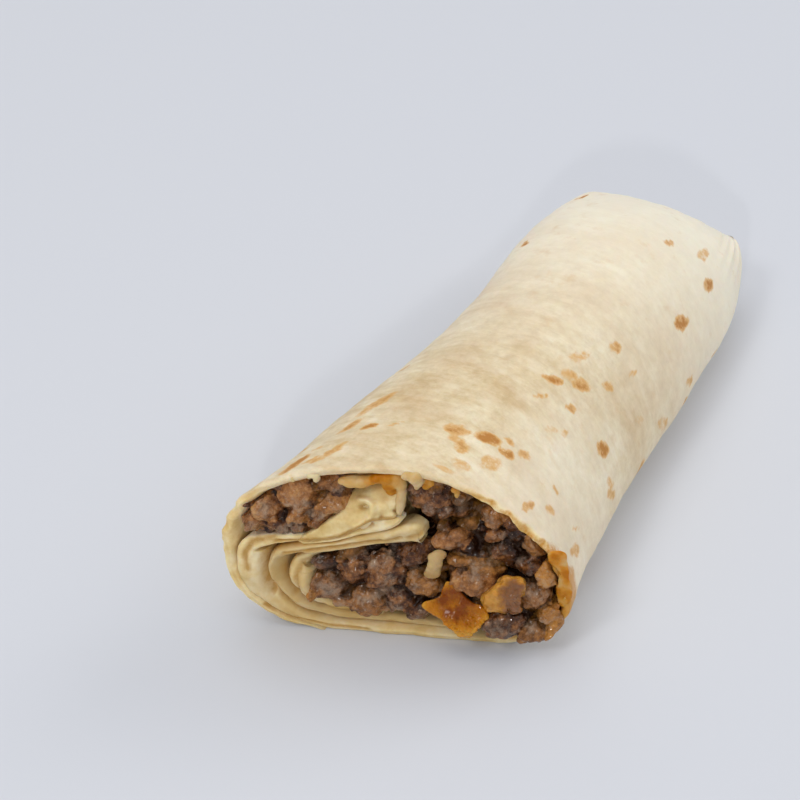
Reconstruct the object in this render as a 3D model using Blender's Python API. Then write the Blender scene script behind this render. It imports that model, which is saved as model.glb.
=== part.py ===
"""One half of a picadillo burrito, cut on a slant and lying on its flat foot.

A flour tortilla is folded in at its sides, rolled round seasoned ground beef and
melted cheese, and cut through. The burrito's length runs along Y: the cut face looks
to -Y and the closed end points to +Y. The origin is on the table, under the middle
of the half's bounding box.

Shapes on the cut face are given as (u, v) in millimetres: u runs to the right along
the cut and v is the height above the table. place() carries them into the burrito,
where t is 0 at the cut and 1 at the closed end.
"""
import math
import random

import bmesh
import bpy
from mathutils import Vector, noise

MM = 0.001

# The wrap: length along its middle, and the slant of the cut seen from above
LENGTH = 127.7
CUT_SLANT = math.radians(22.0)
CUT_MIDDLE = -0.4

# The cut outline in four quarters: centre, half width, half height, roundness
UPPER_RIGHT = (1.0, 12.5, 31.8, 30.1, 1.7)
UPPER_LEFT = (1.0, 21.0, 34.6, 21.6, 2.3)
LOWER_LEFT = (-12.0, 21.0, 21.6, 21.0, 2.4)
LOWER_RIGHT = (18.0, 12.5, 14.8, 12.5, 1.8)
LEFT_REACH = LOWER_LEFT[0] - LOWER_LEFT[2] - CUT_MIDDLE

# How the section changes from the cut (0) to the closed end (1)
WIDTH_ALONG = ((0.0, 1.0), (0.1, 0.918), (0.25, 0.847), (0.5, 0.748), (0.75, 0.75), (1.0, 0.7))
HEIGHT_ALONG = ((0.0, 1.0), (0.25, 0.93), (0.6, 0.851), (1.0, 0.733))
SIDESTEP_ALONG = ((0.0, 0.0), (0.25, -0.2), (0.5, 0.9), (0.75, -0.8), (1.0, -3.2))

# The closed end: the top sinks over END_TAPER, the underside lifts over FOOT_TAPER
END_TAPER = 34.0
END_ROUNDNESS = 1.72
END_HEIGHT = 17.3
FOOT_TAPER = 17.0
FOOT_ROUNDNESS = 2.0
END_NARROWING = 0.234
END_FLAT = 0.3
CORNER_ROUNDNESS = 3.0

# Sections of the wrap: shares of its length, then distances from the closed end
WRAP_SECTIONS = (0.0, 0.04, 0.1, 0.17, 0.25, 0.34, 0.43, 0.52, 0.61, 0.69, 0.75)
END_SECTIONS = (26.0, 19.5, 14.0, 9.0, 5.0, 2.2, 0.9, END_FLAT)
WRAP_STEPS = 10
SMOOTH_ANGLE = math.radians(40)

# Tortilla wall where one layer is cut, and the gaps that pieces keep to each other
WALL = 2.2
WALL_STEPS = 12
GAP = 0.3
BED_GAP = 0.4
CREASE_WIDTH = 0.55

# The main pocket, from its roof down round the folded tongue to the floor of the wrap
MAIN_FOLD = (
    (3.0, 40.1), (2.3, 36.5), (1.6, 33.4), (1.3, 30.8), (1.9, 28.9), (4.3, 28.0),
    (5.8, 26.4), (4.6, 24.9), (-0.8, 23.7), (-8.0, 21.9), (-13.2, 19.7), (-17.8, 17.2),
    (-17.2, 14.4), (-17.6, 11.0), (-16.2, 8.7), (-12.0, 7.4), (-8.0, 5.5), (0.0, 4.9),
    (6.0, 4.1), (12.0, 2.5),
)
# The main pocket follows the outer wall past these points of its roof and of its floor
ROOF_WALL_FROM = 6.0
FLOOR_WALL_FROM = 16.0
# The upper pocket between the outer wrap and the folded-in side
UPPER_POCKET = (
    (-30.2, 29.0), (-27.4, 32.9), (-23.2, 36.6), (-19.0, 38.6), (-14.5, 39.4), (-11.0, 39.2),
    (-10.1, 36.6), (-9.8, 32.4), (-11.5, 29.4), (-13.8, 27.0), (-17.5, 25.2), (-24.5, 23.8),
    (-28.2, 22.6), (-30.5, 24.6),
)
# The hollow over the tongue, where the fold rises to the roof behind melted cheese
TONGUE_HOLLOW = (
    (-8.3, 38.9), (-8.0, 33.6), (-8.8, 29.2), (-5.0, 28.7), (-1.8, 30.2), (0.0, 32.4),
    (4.0, 33.6), (4.2, 39.6), (-2.5, 40.7),
)
HOLLOW_DEPTH = 9.0
HOLLOW_NARROWING = 0.55

# Creases between the rolled layers, as their middle lines on the cut face
OUTER_CREASE = (
    (-29.8, 24.6), (-31.2, 20.0), (-31.4, 14.5), (-29.8, 9.6), (-27.0, 6.3), (-23.4, 3.9),
    (-18.6, 2.2),
)
TONGUE_CREASE = (
    (2.2, 29.6), (-2.0, 27.2), (-9.0, 24.2), (-14.5, 22.3), (-21.0, 21.2), (-25.6, 19.6),
    (-26.6, 16.5), (-26.1, 12.5), (-24.8, 9.2), (-21.8, 5.9), (-18.2, 4.2),
)
INNER_CREASE = (
    (-12.6, 19.0), (-17.6, 19.0), (-21.8, 17.8), (-23.0, 14.4), (-21.8, 10.6), (-19.6, 7.6),
    (-15.5, 5.5), (-12.0, 4.6),
)
CREASE_DEPTH = 0.42
MAIN_DEPTH = 0.82
UPPER_DEPTH = 0.78
# Sections along a pocket, as shares of its depth
POCKET_SECTIONS = (0.0, 0.05, 0.12, 0.25, 0.45, 0.65, 0.85, 0.96)
POCKET_NARROWING = 0.85
HEAP_NARROWING = 0.8
HEAP_SHORTER = 0.004
# How far a cutter starts in front of the cut face
IN_FRONT = -0.02

# Crumbles of beef that show: u, v, how far they stand ahead of the cut, half sizes
MAIN_CRUMBLES = (
    (-14.6, 16.4, -1.0, 3.6, 2.3), (-13.4, 11.7, 0.8, 3.8, 3.4), (-8.6, 15.2, 0.2, 2.6, 4.0),
    (-3.6, 16.6, 0.6, 3.0, 4.0), (1.4, 20.9, -0.6, 3.9, 2.5), (-6.2, 9.0, 1.0, 3.2, 4.0),
    (-0.6, 9.6, 1.2, 3.4, 3.2), (4.4, 14.6, 1.0, 3.1, 3.1), (8.6, 24.2, -0.8, 3.6, 2.7),
    (11.8, 20.6, 0.4, 2.8, 2.2), (14.2, 17.6, 1.4, 4.9, 4.4), (25.8, 13.6, 1.2, 3.1, 3.5),
    (27.6, 18.2, 0.4, 2.2, 3.6), (21.8, 8.6, 3.0, 4.4, 3.9), (28.2, 9.6, 1.2, 2.3, 3.0),
    (6.6, 31.8, -3.6, 3.9, 4.6), (11.4, 28.2, -2.6, 2.8, 2.7), (16.4, 30.9, -1.6, 2.8, 3.0),
    (12.6, 34.2, -3.2, 2.7, 2.4), (16.6, 25.3, -1.8, 2.6, 3.1), (20.9, 27.4, -1.4, 2.5, 3.0),
    (25.0, 25.3, -0.8, 2.5, 2.7), (19.9, 21.6, 0.2, 2.4, 3.0), (24.4, 20.0, 0.2, 2.9, 3.2),
    (16.5, 7.0, 1.2, 3.4, 3.4), (9.6, 8.6, 0.6, 4.0, 3.6), (20.4, 14.0, 0.4, 3.4, 3.6),
    (3.6, 7.2, 0.8, 2.9, 2.5), (12.6, 5.2, 1.4, 3.2, 2.5), (-11.0, 8.4, 0.2, 2.4, 1.9),
)
UPPER_CRUMBLES = (
    (-19.8, 33.4, 0.4, 3.5, 4.6), (-24.9, 29.7, 0.8, 2.7, 3.5), (-27.8, 26.0, 0.6, 2.3, 2.9),
    (-13.1, 32.1, 0.6, 3.1, 2.7), (-13.2, 36.2, -0.8, 2.7, 2.3), (-19.2, 28.4, 0.8, 2.5, 2.1),
    (-15.6, 28.4, 0.2, 2.4, 1.8), (-27.6, 30.6, -0.4, 2.0, 2.0), (-23.0, 35.0, -0.4, 2.7, 2.2),
    (-23.4, 25.9, 0.2, 2.4, 1.7),
)
CRUMBLE_UNEVENNESS = 0.22
CRUMBLE_WAVES = 1.4
# How far a crumble reaches into the heap behind it
CRUMBLE_ROOT = 1.5
MAIN_FILLERS = 9
UPPER_FILLERS = 3
FILLER_SIZE = (2.1, 3.0)
FILLER_AHEAD = (-2.2, -0.8)
FILLER_SPACING = 3.4
FILLER_MARGIN = 1.6
FILLER_TRIES = 4000
# How deep the bare heap starts behind the cut, and how far it leans back with height
HEAP_START = 3.2
HEAP_LEAN = 0.13
# The heap may hang over the cut edge of the wrap by this much, once clear of it
OVERHANG_CLEAR = 0.35
OVERHANG = 2.1
OVERHANG_REACH = 6.0

# Melted cheese under the roof: u, v, ahead of the cut, half width, half depth, half height
CHEESE_LUMPS = (
    (-5.8, 38.9, 0.2, 2.4, 3.0, 1.5), (-2.4, 38.9, 0.7, 2.9, 3.2, 2.1), (1.5, 38.9, 1.2, 2.0, 3.0, 2.1),
    (0.9, 35.4, 0.6, 1.2, 1.5, 3.2),
)
CHEESE_OVERHANG = 0.5
# The orange cheese flake that lies over the lower edge of the cut
FLAKE_OUTLINE = (
    (9.4, 16.7), (12.6, 13.7), (16.0, 12.3), (17.2, 9.8), (16.0, 6.6), (12.4, 3.4),
    (8.6, 6.4), (5.0, 10.0), (7.4, 12.8),
)
FLAKE_THICKNESS = 2.2
FLAKE_AHEAD = 2.8
# Single pieces: u, v, ahead of the cut, half width, half depth, half height
GLAZED_CRUMBLE = (19.8, 15.6, 3.2, 3.9, 2.6, 4.6)
ONION_SHRED = (6.8, 21.8, 2.2, 1.6, 1.3, 3.7)
SHRED_TILT = math.radians(14.0)


def smooth_between(knots, t):
    """Value at t on a smooth curve through (t, value) knots, level past both ends."""
    if t <= knots[0][0]:
        return knots[0][1]
    if t >= knots[-1][0]:
        return knots[-1][1]
    upper = next(i for i, knot in enumerate(knots) if knot[0] > t)
    slopes = [(b[1] - a[1]) / (b[0] - a[0]) for a, b in zip(knots, knots[1:])]
    slope_start = knot_slope(slopes[max(upper - 2, 0)], slopes[upper - 1])
    slope_stop = knot_slope(slopes[upper - 1], slopes[min(upper, len(slopes) - 1)])
    start, stop = knots[upper - 1], knots[upper]
    span = stop[0] - start[0]
    s = (t - start[0]) / span
    rise = 3 * s ** 2 - 2 * s ** 3
    bend = slope_start * (s ** 3 - 2 * s ** 2 + s) + slope_stop * (s ** 3 - s ** 2)
    return start[1] + (stop[1] - start[1]) * rise + bend * span


def knot_slope(before, after):
    """Slope at a knot that never makes the curve overshoot it."""
    if before * after <= 0:
        return 0.0
    return 2 * before * after / (before + after)


def closing(distance_from_end, taper, roundness):
    """1 well before the closed end, falling to 0 on a rounded curve at the end."""
    past = min(max(1.0 - distance_from_end / taper, 0.0), 1.0)
    return (1.0 - past ** roundness) ** (1.0 / roundness)


def place(u, v, t):
    """Point of the burrito, in metres, for a point of the cut face carried to t."""
    across = (u - CUT_MIDDLE) * math.cos(CUT_SLANT)
    to_end = (1.0 - t) * LENGTH
    corner = closing(to_end, END_TAPER, CORNER_ROUNDNESS)
    narrowing = 1.0 - END_NARROWING * (1.0 - corner)
    x = across * smooth_between(WIDTH_ALONG, t) * narrowing + smooth_between(SIDESTEP_ALONG, t)
    y = t * LENGTH + (1.0 - t) * across * math.tan(CUT_SLANT)
    z = v * smooth_between(HEIGHT_ALONG, t)
    if z > END_HEIGHT:
        z = END_HEIGHT + (z - END_HEIGHT) * closing(to_end, END_TAPER, END_ROUNDNESS)
    else:
        z = END_HEIGHT + (z - END_HEIGHT) * closing(to_end, FOOT_TAPER, FOOT_ROUNDNESS)
    front = LEFT_REACH * math.sin(CUT_SLANT)
    middle = (LENGTH - END_FLAT + front) / 2
    return Vector((x, y - middle, z)) * MM


def ahead_of_cut(u, v, ahead):
    """Point that stands the given millimetres in front of the cut face."""
    return place(u, v, -ahead / LENGTH)


def quarter(sizes, first_angle, steps):
    """Points of one quarter of the outline, anticlockwise, without the last one."""
    centre_u, centre_v, half_width, half_height, roundness = sizes
    points = []
    for step in range(steps):
        angle = math.radians(first_angle + 90.0 * step / steps)
        along, up = math.cos(angle), math.sin(angle)
        u = centre_u + half_width * math.copysign(abs(along) ** (2 / roundness), along)
        v = centre_v + half_height * math.copysign(abs(up) ** (2 / roundness), up)
        points.append((u, v))
    return points


def wrap_outline(steps):
    """Outer outline of the cut face, anticlockwise from the right side."""
    outline = quarter(UPPER_RIGHT, 0, steps) + quarter(UPPER_LEFT, 90, steps)
    outline += quarter(LOWER_LEFT, 180, steps) + [(LOWER_LEFT[0], 0.0)]
    return outline + quarter(LOWER_RIGHT, 270, steps)


def moved_out(outline, distance):
    """The closed outline with every point moved out along its normal, in if negative."""
    area = sum(a[0] * b[1] - b[0] * a[1] for a, b in zip(outline, outline[1:] + outline[:1]))
    side = math.copysign(1.0, area)
    moved = []
    for i, point in enumerate(outline):
        before, after = outline[i - 1], outline[(i + 1) % len(outline)]
        run = Vector((after[0] - before[0], after[1] - before[1])).normalized()
        moved.append((point[0] + run.y * distance * side, point[1] - run.x * distance * side))
    return moved


def rounded(points, closed, per_span):
    """Smooth curve through the points, with per_span points from each to the next."""
    count = len(points)
    spans = count if closed else count - 1
    curve = []
    for i in range(spans):
        if closed:
            four = [points[(i + k) % count] for k in (-1, 0, 1, 2)]
        else:
            four = [points[min(max(i + k, 0), count - 1)] for k in (-1, 0, 1, 2)]
        for step in range(per_span):
            s = step / per_span
            weights = ((-s + 2 * s ** 2 - s ** 3) / 2, (2 - 5 * s ** 2 + 3 * s ** 3) / 2,
                       (s + 4 * s ** 2 - 3 * s ** 3) / 2, (-s ** 2 + s ** 3) / 2)
            curve.append(tuple(sum(w * p[axis] for w, p in zip(weights, four)) for axis in (0, 1)))
    if not closed:
        curve.append(points[-1])
    return curve


def main_pocket():
    """Outline of the main pocket: the fold on the left, one layer of wall on the right."""
    walls = moved_out(wrap_outline(WALL_STEPS), -WALL)
    floor = [point for point in walls[-WALL_STEPS:] if point[0] > FLOOR_WALL_FROM]
    roof = [point for point in walls[:WALL_STEPS] if point[0] > ROOF_WALL_FROM]
    return rounded(MAIN_FOLD, False, 2) + floor + roof


def crease_outline(line):
    """Thin closed outline that follows a crease's middle line and narrows at its ends."""
    middle = rounded(line, False, 2)
    last = len(middle) - 1
    left, right = [], []
    for i, point in enumerate(middle):
        before, after = middle[max(i - 1, 0)], middle[min(i + 1, last)]
        run = Vector((after[0] - before[0], after[1] - before[1])).normalized()
        half = CREASE_WIDTH / 2 if 0 < i < last else CREASE_WIDTH / 4
        left.append((point[0] - run.y * half, point[1] + run.x * half))
        right.append((point[0] + run.y * half, point[1] - run.x * half))
    return left + right[::-1]


def shrunk(outline, factor):
    """The outline drawn towards its own middle."""
    middle_u = sum(point[0] for point in outline) / len(outline)
    middle_v = sum(point[1] for point in outline) / len(outline)
    return [(middle_u + (u - middle_u) * factor, middle_v + (v - middle_v) * factor) for u, v in outline]


def material(name, colour, roughness):
    """Principled material with one colour."""
    made = bpy.data.materials.new(name)
    made.use_nodes = True
    shader = made.node_tree.nodes["Principled BSDF"]
    shader.inputs["Base Color"].default_value = (*colour, 1.0)
    shader.inputs["Roughness"].default_value = roughness
    shader.inputs["Metallic"].default_value = 0.0
    return made


def new_collection(name):
    made = bpy.data.collections.new(name)
    bpy.context.scene.collection.children.link(made)
    return made


def new_object(name, bm, collection):
    """Object from a bmesh, with its faces turned out."""
    bmesh.ops.recalc_face_normals(bm, faces=bm.faces)
    mesh = bpy.data.meshes.new(name)
    bm.to_mesh(mesh)
    bm.free()
    made = bpy.data.objects.new(name, mesh)
    collection.objects.link(made)
    return made


def loft(name, rings, collection):
    """Closed solid through rings of points, with a flat cap on the first and the last."""
    bm = bmesh.new()
    loops = [[bm.verts.new(point) for point in ring] for ring in rings]
    for near, far in zip(loops, loops[1:]):
        for i in range(len(near)):
            j = (i + 1) % len(near)
            bm.faces.new((near[i], near[j], far[j], far[i]))
    bm.faces.new(loops[0])
    bm.faces.new(loops[-1])
    return new_object(name, bm, collection)


def ring(outline, t):
    """The outline of a section at t, as points in metres."""
    return [place(u, v, t) for u, v in outline]


def lump(name, centre, half_sizes, seed, collection, tilt=0.0):
    """Uneven rounded lump, centred on a point in metres, with half sizes in millimetres."""
    place_in_noise = Vector((seed, -seed, 2 * seed))
    bm = bmesh.new()
    bmesh.ops.create_icosphere(bm, subdivisions=2, radius=1.0)
    for vert in bm.verts:
        swell = 1.0 + CRUMBLE_UNEVENNESS * noise.noise(vert.co * CRUMBLE_WAVES + place_in_noise)
        shape = Vector([c * size * MM * swell for c, size in zip(vert.co, half_sizes)])
        turned_x = shape.x * math.cos(tilt) + shape.z * math.sin(tilt)
        turned_z = shape.z * math.cos(tilt) - shape.x * math.sin(tilt)
        vert.co = centre + Vector((turned_x, shape.y, turned_z))
    return new_object(name, bm, collection)


def boolean(target, operation, operand=None, collection=None):
    """Boolean modifier on the target, from one object or from a whole collection."""
    step = target.modifiers.new(operation.title(), "BOOLEAN")
    step.operation = operation
    step.solver = "EXACT"
    if collection:
        step.operand_type = "COLLECTION"
        step.collection = collection
    else:
        step.object = operand


def apply_modifiers(target):
    """Turn the object's modifiers into its mesh."""
    graph = bpy.context.evaluated_depsgraph_get()
    done = bpy.data.meshes.new_from_object(target.evaluated_get(graph))
    target.modifiers.clear()
    target.data = done


def drop_scraps(target):
    """Keep the largest connected body of the mesh."""
    bm = bmesh.new()
    bm.from_mesh(target.data)
    bodies = []
    waiting = set(bm.verts)
    while waiting:
        found = {waiting.pop()}
        edge_of_search = list(found)
        while edge_of_search:
            vert = edge_of_search.pop()
            for edge in vert.link_edges:
                other = edge.other_vert(vert)
                if other in waiting:
                    waiting.remove(other)
                    found.add(other)
                    edge_of_search.append(other)
        bodies.append(found)
    bodies.sort(key=len)
    for body in bodies[:-1]:
        bmesh.ops.delete(bm, geom=list(body), context="VERTS")
    bm.to_mesh(target.data)
    bm.free()


def inside(outline, u, v):
    """Whether the point lies within the closed outline."""
    crossings = 0
    for a, b in zip(outline, outline[1:] + outline[:1]):
        if (a[1] > v) != (b[1] > v) and u < a[0] + (v - a[1]) / (b[1] - a[1]) * (b[0] - a[0]):
            crossings += 1
    return crossings % 2 == 1


def filler_crumbles(outline, shown, count, seed):
    """Further crumbles, set back between those that show, spaced by a seeded draw."""
    draw = random.Random(seed)
    us, vs = [point[0] for point in outline], [point[1] for point in outline]
    room = moved_out(outline, -FILLER_MARGIN)
    placed = [(u, v) for u, v, *rest in shown]
    fillers = []
    for attempt in range(FILLER_TRIES):
        u, v = draw.uniform(min(us), max(us)), draw.uniform(min(vs), max(vs))
        clear = min(math.hypot(u - other[0], v - other[1]) for other in placed)
        if clear > FILLER_SPACING and inside(room, u, v) and len(fillers) < count:
            placed.append((u, v))
            size = draw.uniform(*FILLER_SIZE)
            fillers.append((u, v, draw.uniform(*FILLER_AHEAD), size, size))
    return fillers


def heap_start(u, v):
    """How far behind the cut the bare heap begins."""
    return HEAP_START + HEAP_LEAN * v


def beef(name, outline, depth, shown, filler_count, seed, collection):
    """Ground beef that fills a pocket: a core with its crumbles fused on at the cut."""
    fit = moved_out(outline, -GAP)
    front = [place(u, v, heap_start(u, v) / LENGTH) for u, v in fit]
    rings = [front] + [ring(fit, depth * share) for share in POCKET_SECTIONS[2:]]
    rings.append(ring(shrunk(fit, HEAP_NARROWING), depth - HEAP_SHORTER))
    heap = loft(name, rings, collection)
    pieces = new_collection(name + "_pieces")
    crumbles = list(shown) + filler_crumbles(outline, shown, filler_count, seed)
    for number, (u, v, ahead, half_u, half_v) in enumerate(crumbles):
        half_depth = (heap_start(u, v) + CRUMBLE_ROOT + ahead) / 2
        centre = ahead_of_cut(u, v, ahead - half_depth)
        lump(f"{name}_{number}", centre, (half_u, half_depth, half_v), seed + number, pieces)
    boolean(heap, "UNION", collection=pieces)
    apply_modifiers(heap)
    for piece in list(pieces.objects):
        bpy.data.objects.remove(piece)
    bpy.data.collections.remove(pieces)
    behind = [ring(fit, depth * share) for share in POCKET_SECTIONS + (1.0,)]
    press_into(heap, fit, behind, OVERHANG, collection)
    return heap


def press_into(heap, fit, behind, overhang, collection):
    """Press the heap flat against its pocket's walls, but let it hang over the cut edge."""
    bulge = [(u, max(v, 0.3)) for u, v in moved_out(fit, overhang)]
    reach = -OVERHANG_REACH / LENGTH
    clear = -OVERHANG_CLEAR / LENGTH
    rings = [ring(bulge, reach), ring(bulge, clear - 0.0004), ring(fit, clear)]
    envelope = loft("envelope", rings + behind, collection)
    boolean(heap, "INTERSECT", envelope)
    apply_modifiers(heap)
    bpy.data.objects.remove(envelope)
    drop_scraps(heap)


def make_bed(heap, topping, collection):
    """Take the topping's own shape, and the gap round it, out of the heap below it."""
    bm = bmesh.new()
    bm.from_mesh(topping.data)
    bm.normal_update()
    for vert in bm.verts:
        vert.co += vert.normal * BED_GAP * MM
    cutter = new_object("bed", bm, collection)
    boolean(heap, "DIFFERENCE", cutter)
    apply_modifiers(heap)
    bpy.data.objects.remove(cutter)
    drop_scraps(heap)


def tortilla(pocket, upper_pocket, collection, cutters):
    """The rolled wrap: its outer form, less the pockets, the hollow and the creases."""
    sections = list(WRAP_SECTIONS) + [1.0 - to_end / LENGTH for to_end in END_SECTIONS]
    wrap = loft("tortilla", [ring(wrap_outline(WRAP_STEPS), t) for t in sections], collection)
    hollow_rings = [ring(TONGUE_HOLLOW, IN_FRONT)] + hollow_sections(TONGUE_HOLLOW)
    hollow = loft("cut_hollow", hollow_rings, cutters)
    boolean(wrap, "DIFFERENCE", pocket_cutter("cut_main", pocket, MAIN_DEPTH, cutters))
    boolean(wrap, "DIFFERENCE", pocket_cutter("cut_upper", upper_pocket, UPPER_DEPTH, cutters))
    boolean(wrap, "DIFFERENCE", hollow)
    creases = {"outer": OUTER_CREASE, "tongue": TONGUE_CREASE, "inner": INNER_CREASE}
    for label, line in creases.items():
        outline = crease_outline(line)
        rings = [ring(outline, t) for t in (IN_FRONT, 0.25 * CREASE_DEPTH, 0.6 * CREASE_DEPTH, CREASE_DEPTH)]
        boolean(wrap, "DIFFERENCE", loft("cut_crease_" + label, rings, cutters))
    return wrap


def hollow_sections(outline):
    """Sections of the hollow over the tongue, which closes towards its back."""
    back = HOLLOW_DEPTH / LENGTH
    return [ring(outline, 0.0), ring(outline, 0.6 * back), ring(shrunk(outline, HOLLOW_NARROWING), back)]


def pocket_cutter(name, outline, depth, cutters):
    """Solid of a pocket, from in front of the cut to its rounded inner end."""
    rings = [ring(outline, IN_FRONT)] + [ring(outline, depth * share) for share in POCKET_SECTIONS]
    return loft(name, rings + [ring(shrunk(outline, POCKET_NARROWING), depth)], cutters)


def melted_cheese(collection):
    """Melted cheese that hangs from the roof over the tongue, with one strand down to it."""
    pieces = new_collection("cheese_pieces")
    first, *others = CHEESE_LUMPS
    lumps = []
    for number, (u, v, ahead, *half_sizes) in enumerate([first] + others):
        centre = ahead_of_cut(u, v, ahead - half_sizes[1])
        target = pieces if number else collection
        lumps.append(lump(f"cheese_{number}", centre, half_sizes, 40 + number, target))
    cheese = lumps[0]
    cheese.name = "melted_cheese"
    boolean(cheese, "UNION", collection=pieces)
    apply_modifiers(cheese)
    for piece in list(pieces.objects):
        bpy.data.objects.remove(piece)
    bpy.data.collections.remove(pieces)
    fit = moved_out(TONGUE_HOLLOW, -GAP)
    press_into(cheese, fit, hollow_sections(fit), CHEESE_OVERHANG, collection)
    return cheese


def cheese_flake(collection):
    """Thin orange flake of melted cheese with a crowned face."""
    outline = rounded(FLAKE_OUTLINE, True, 2)
    back = FLAKE_AHEAD - FLAKE_THICKNESS
    rings = [[ahead_of_cut(u, v, back) for u, v in shrunk(outline, 0.93)],
             [ahead_of_cut(u, v, back + 0.3 * FLAKE_THICKNESS) for u, v in outline],
             [ahead_of_cut(u, v, back + 0.7 * FLAKE_THICKNESS) for u, v in shrunk(outline, 0.97)],
             [ahead_of_cut(u, v, FLAKE_AHEAD) for u, v in shrunk(outline, 0.72)]]
    return loft("cheese_flake", rings, collection)


def single_piece(name, sizes, seed, tilt, collection):
    """One rounded piece that lies on the heap."""
    u, v, ahead, *half_sizes = sizes
    centre = ahead_of_cut(u, v, ahead - half_sizes[1])
    return lump(name, centre, half_sizes, seed, collection, tilt)


def finish(piece, look):
    piece.data.materials.clear()
    piece.data.materials.append(look)
    piece.data.shade_smooth()
    piece.data.set_sharp_from_angle(angle=SMOOTH_ANGLE)


def build():
    for leftover in list(bpy.data.objects):
        bpy.data.objects.remove(leftover)
    burrito = new_collection("picadillo_burrito_half")
    cutters = new_collection("cutters")

    flour = material("toasted_flour_tortilla", (0.80, 0.66, 0.45), 0.65)
    meat = material("ground_beef", (0.16, 0.075, 0.04), 0.45)
    melt = material("melted_cheese", (0.72, 0.46, 0.16), 0.35)
    orange = material("orange_cheese", (0.55, 0.21, 0.02), 0.3)
    glazed = material("glazed_beef", (0.38, 0.16, 0.05), 0.35)
    pale = material("cooked_onion", (0.55, 0.42, 0.24), 0.4)

    pocket = main_pocket()
    upper_pocket = rounded(UPPER_POCKET, True, 2)
    wrap = tortilla(pocket, upper_pocket, burrito, cutters)
    main = beef("beef_main", pocket, MAIN_DEPTH, MAIN_CRUMBLES, MAIN_FILLERS, 7, burrito)
    upper = beef("beef_upper", upper_pocket, UPPER_DEPTH, UPPER_CRUMBLES, UPPER_FILLERS, 91, burrito)
    cheese = melted_cheese(burrito)
    flake = cheese_flake(burrito)
    tan = single_piece("glazed_crumble", GLAZED_CRUMBLE, 5, 0.0, burrito)
    shred = single_piece("onion_shred", ONION_SHRED, 9, SHRED_TILT, burrito)

    make_bed(tan, flake, cutters)
    for topping in (flake, tan, shred, cheese):
        make_bed(main, topping, cutters)
    make_bed(upper, cheese, cutters)

    for piece, look in ((wrap, flour), (main, meat), (upper, meat), (cheese, melt),
                        (flake, orange), (tan, glazed), (shred, pale)):
        finish(piece, look)
    for cutter in cutters.objects:
        cutter.hide_render = True
        cutter.display_type = "WIRE"


build()
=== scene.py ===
import math
import random

import bmesh
import bpy
import numpy as np
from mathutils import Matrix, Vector, noise


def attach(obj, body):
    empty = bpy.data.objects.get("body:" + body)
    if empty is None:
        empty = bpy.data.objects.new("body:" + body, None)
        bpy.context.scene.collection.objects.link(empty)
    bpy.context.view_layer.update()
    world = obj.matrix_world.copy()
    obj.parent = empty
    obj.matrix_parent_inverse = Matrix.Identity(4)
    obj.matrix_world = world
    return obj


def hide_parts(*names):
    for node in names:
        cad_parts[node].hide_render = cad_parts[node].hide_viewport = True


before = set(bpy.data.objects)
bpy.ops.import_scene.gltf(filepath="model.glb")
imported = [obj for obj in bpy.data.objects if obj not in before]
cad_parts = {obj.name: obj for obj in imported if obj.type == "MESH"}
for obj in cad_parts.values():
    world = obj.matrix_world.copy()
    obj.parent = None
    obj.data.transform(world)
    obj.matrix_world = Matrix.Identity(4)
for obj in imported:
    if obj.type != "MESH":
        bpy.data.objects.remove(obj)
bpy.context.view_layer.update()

# Half a picadillo burrito, cut on a slant and lying on its flat foot. Its length runs
# along Y, the cut face looks to -Y, and the closed end points to +Y. Sizes are in
# millimetres, and MM turns them into Blender's metres.
MM = 0.001


# Camera: it looks down on the cut end from the front right, from half a metre away,
# with the long lens of a product photograph.
VIEW_AZIMUTH = math.radians(29.0)
VIEW_DOWN = math.radians(40.0)
CAMERA_PLACE = Vector((171.4, -365.4, 354.8)) * MM
CAMERA_LENS = 117.0


def in_scene(made):
    """Put an object into the scene, and hand it back."""
    bpy.context.scene.collection.objects.link(made)
    return made


lens = bpy.data.cameras.new("camera")
lens.lens = CAMERA_LENS
lens.sensor_width = 36.0
lens.clip_start = 0.01
camera = in_scene(bpy.data.objects.new("camera", lens))
camera.location = CAMERA_PLACE
looking = Vector((-math.sin(VIEW_AZIMUTH) * math.cos(VIEW_DOWN),
                  math.cos(VIEW_AZIMUTH) * math.cos(VIEW_DOWN), -math.sin(VIEW_DOWN)))
camera.rotation_euler = looking.to_track_quat("-Z", "Y").to_euler()
bpy.context.scene.camera = camera
bpy.context.scene.view_settings.view_transform = "Standard"


# Floor and light: a seamless pale blue-grey sweep under a wide soft box overhead, weaker
# ones at the front and behind, a tiny low one for glints, and even light all round.
FLOOR_HALF = 3.0
FLOOR_COLOUR = (0.66, 0.675, 0.71)
SKY_COLOUR = (0.92, 0.94, 1.0)
SKY_STRENGTH = 0.49
SOFT_BOXES = (
    # name, place, side, power in watts
    ("overhead", (-0.22, 0.0, 1.3), 1.1, 5.6),
    ("front", (-0.2, -0.85, 1.05), 0.3, 3.0),
    ("behind", (0.65, 0.95, 0.75), 0.7, 4.2),
    ("sparkle", (0.34, -0.97, 0.5), 0.05, 1.9),
)


def add(tree, kind, inputs=None, **settings):
    """Add a node with its settings, and fill its inputs with values or links."""
    node = tree.nodes.new(kind)
    for name, value in settings.items():
        setattr(node, name, value)
    for key, value in (inputs or {}).items():
        if isinstance(value, bpy.types.NodeSocket):
            tree.links.new(value, node.inputs[key])
        else:
            node.inputs[key].default_value = value
    return node


def new_material(name):
    """Material with an empty tree, handed back with its tree, ready for a surface shader."""
    made = bpy.data.materials.new(name)
    made.use_nodes = True
    made.node_tree.nodes.clear()
    return made, made.node_tree


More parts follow.
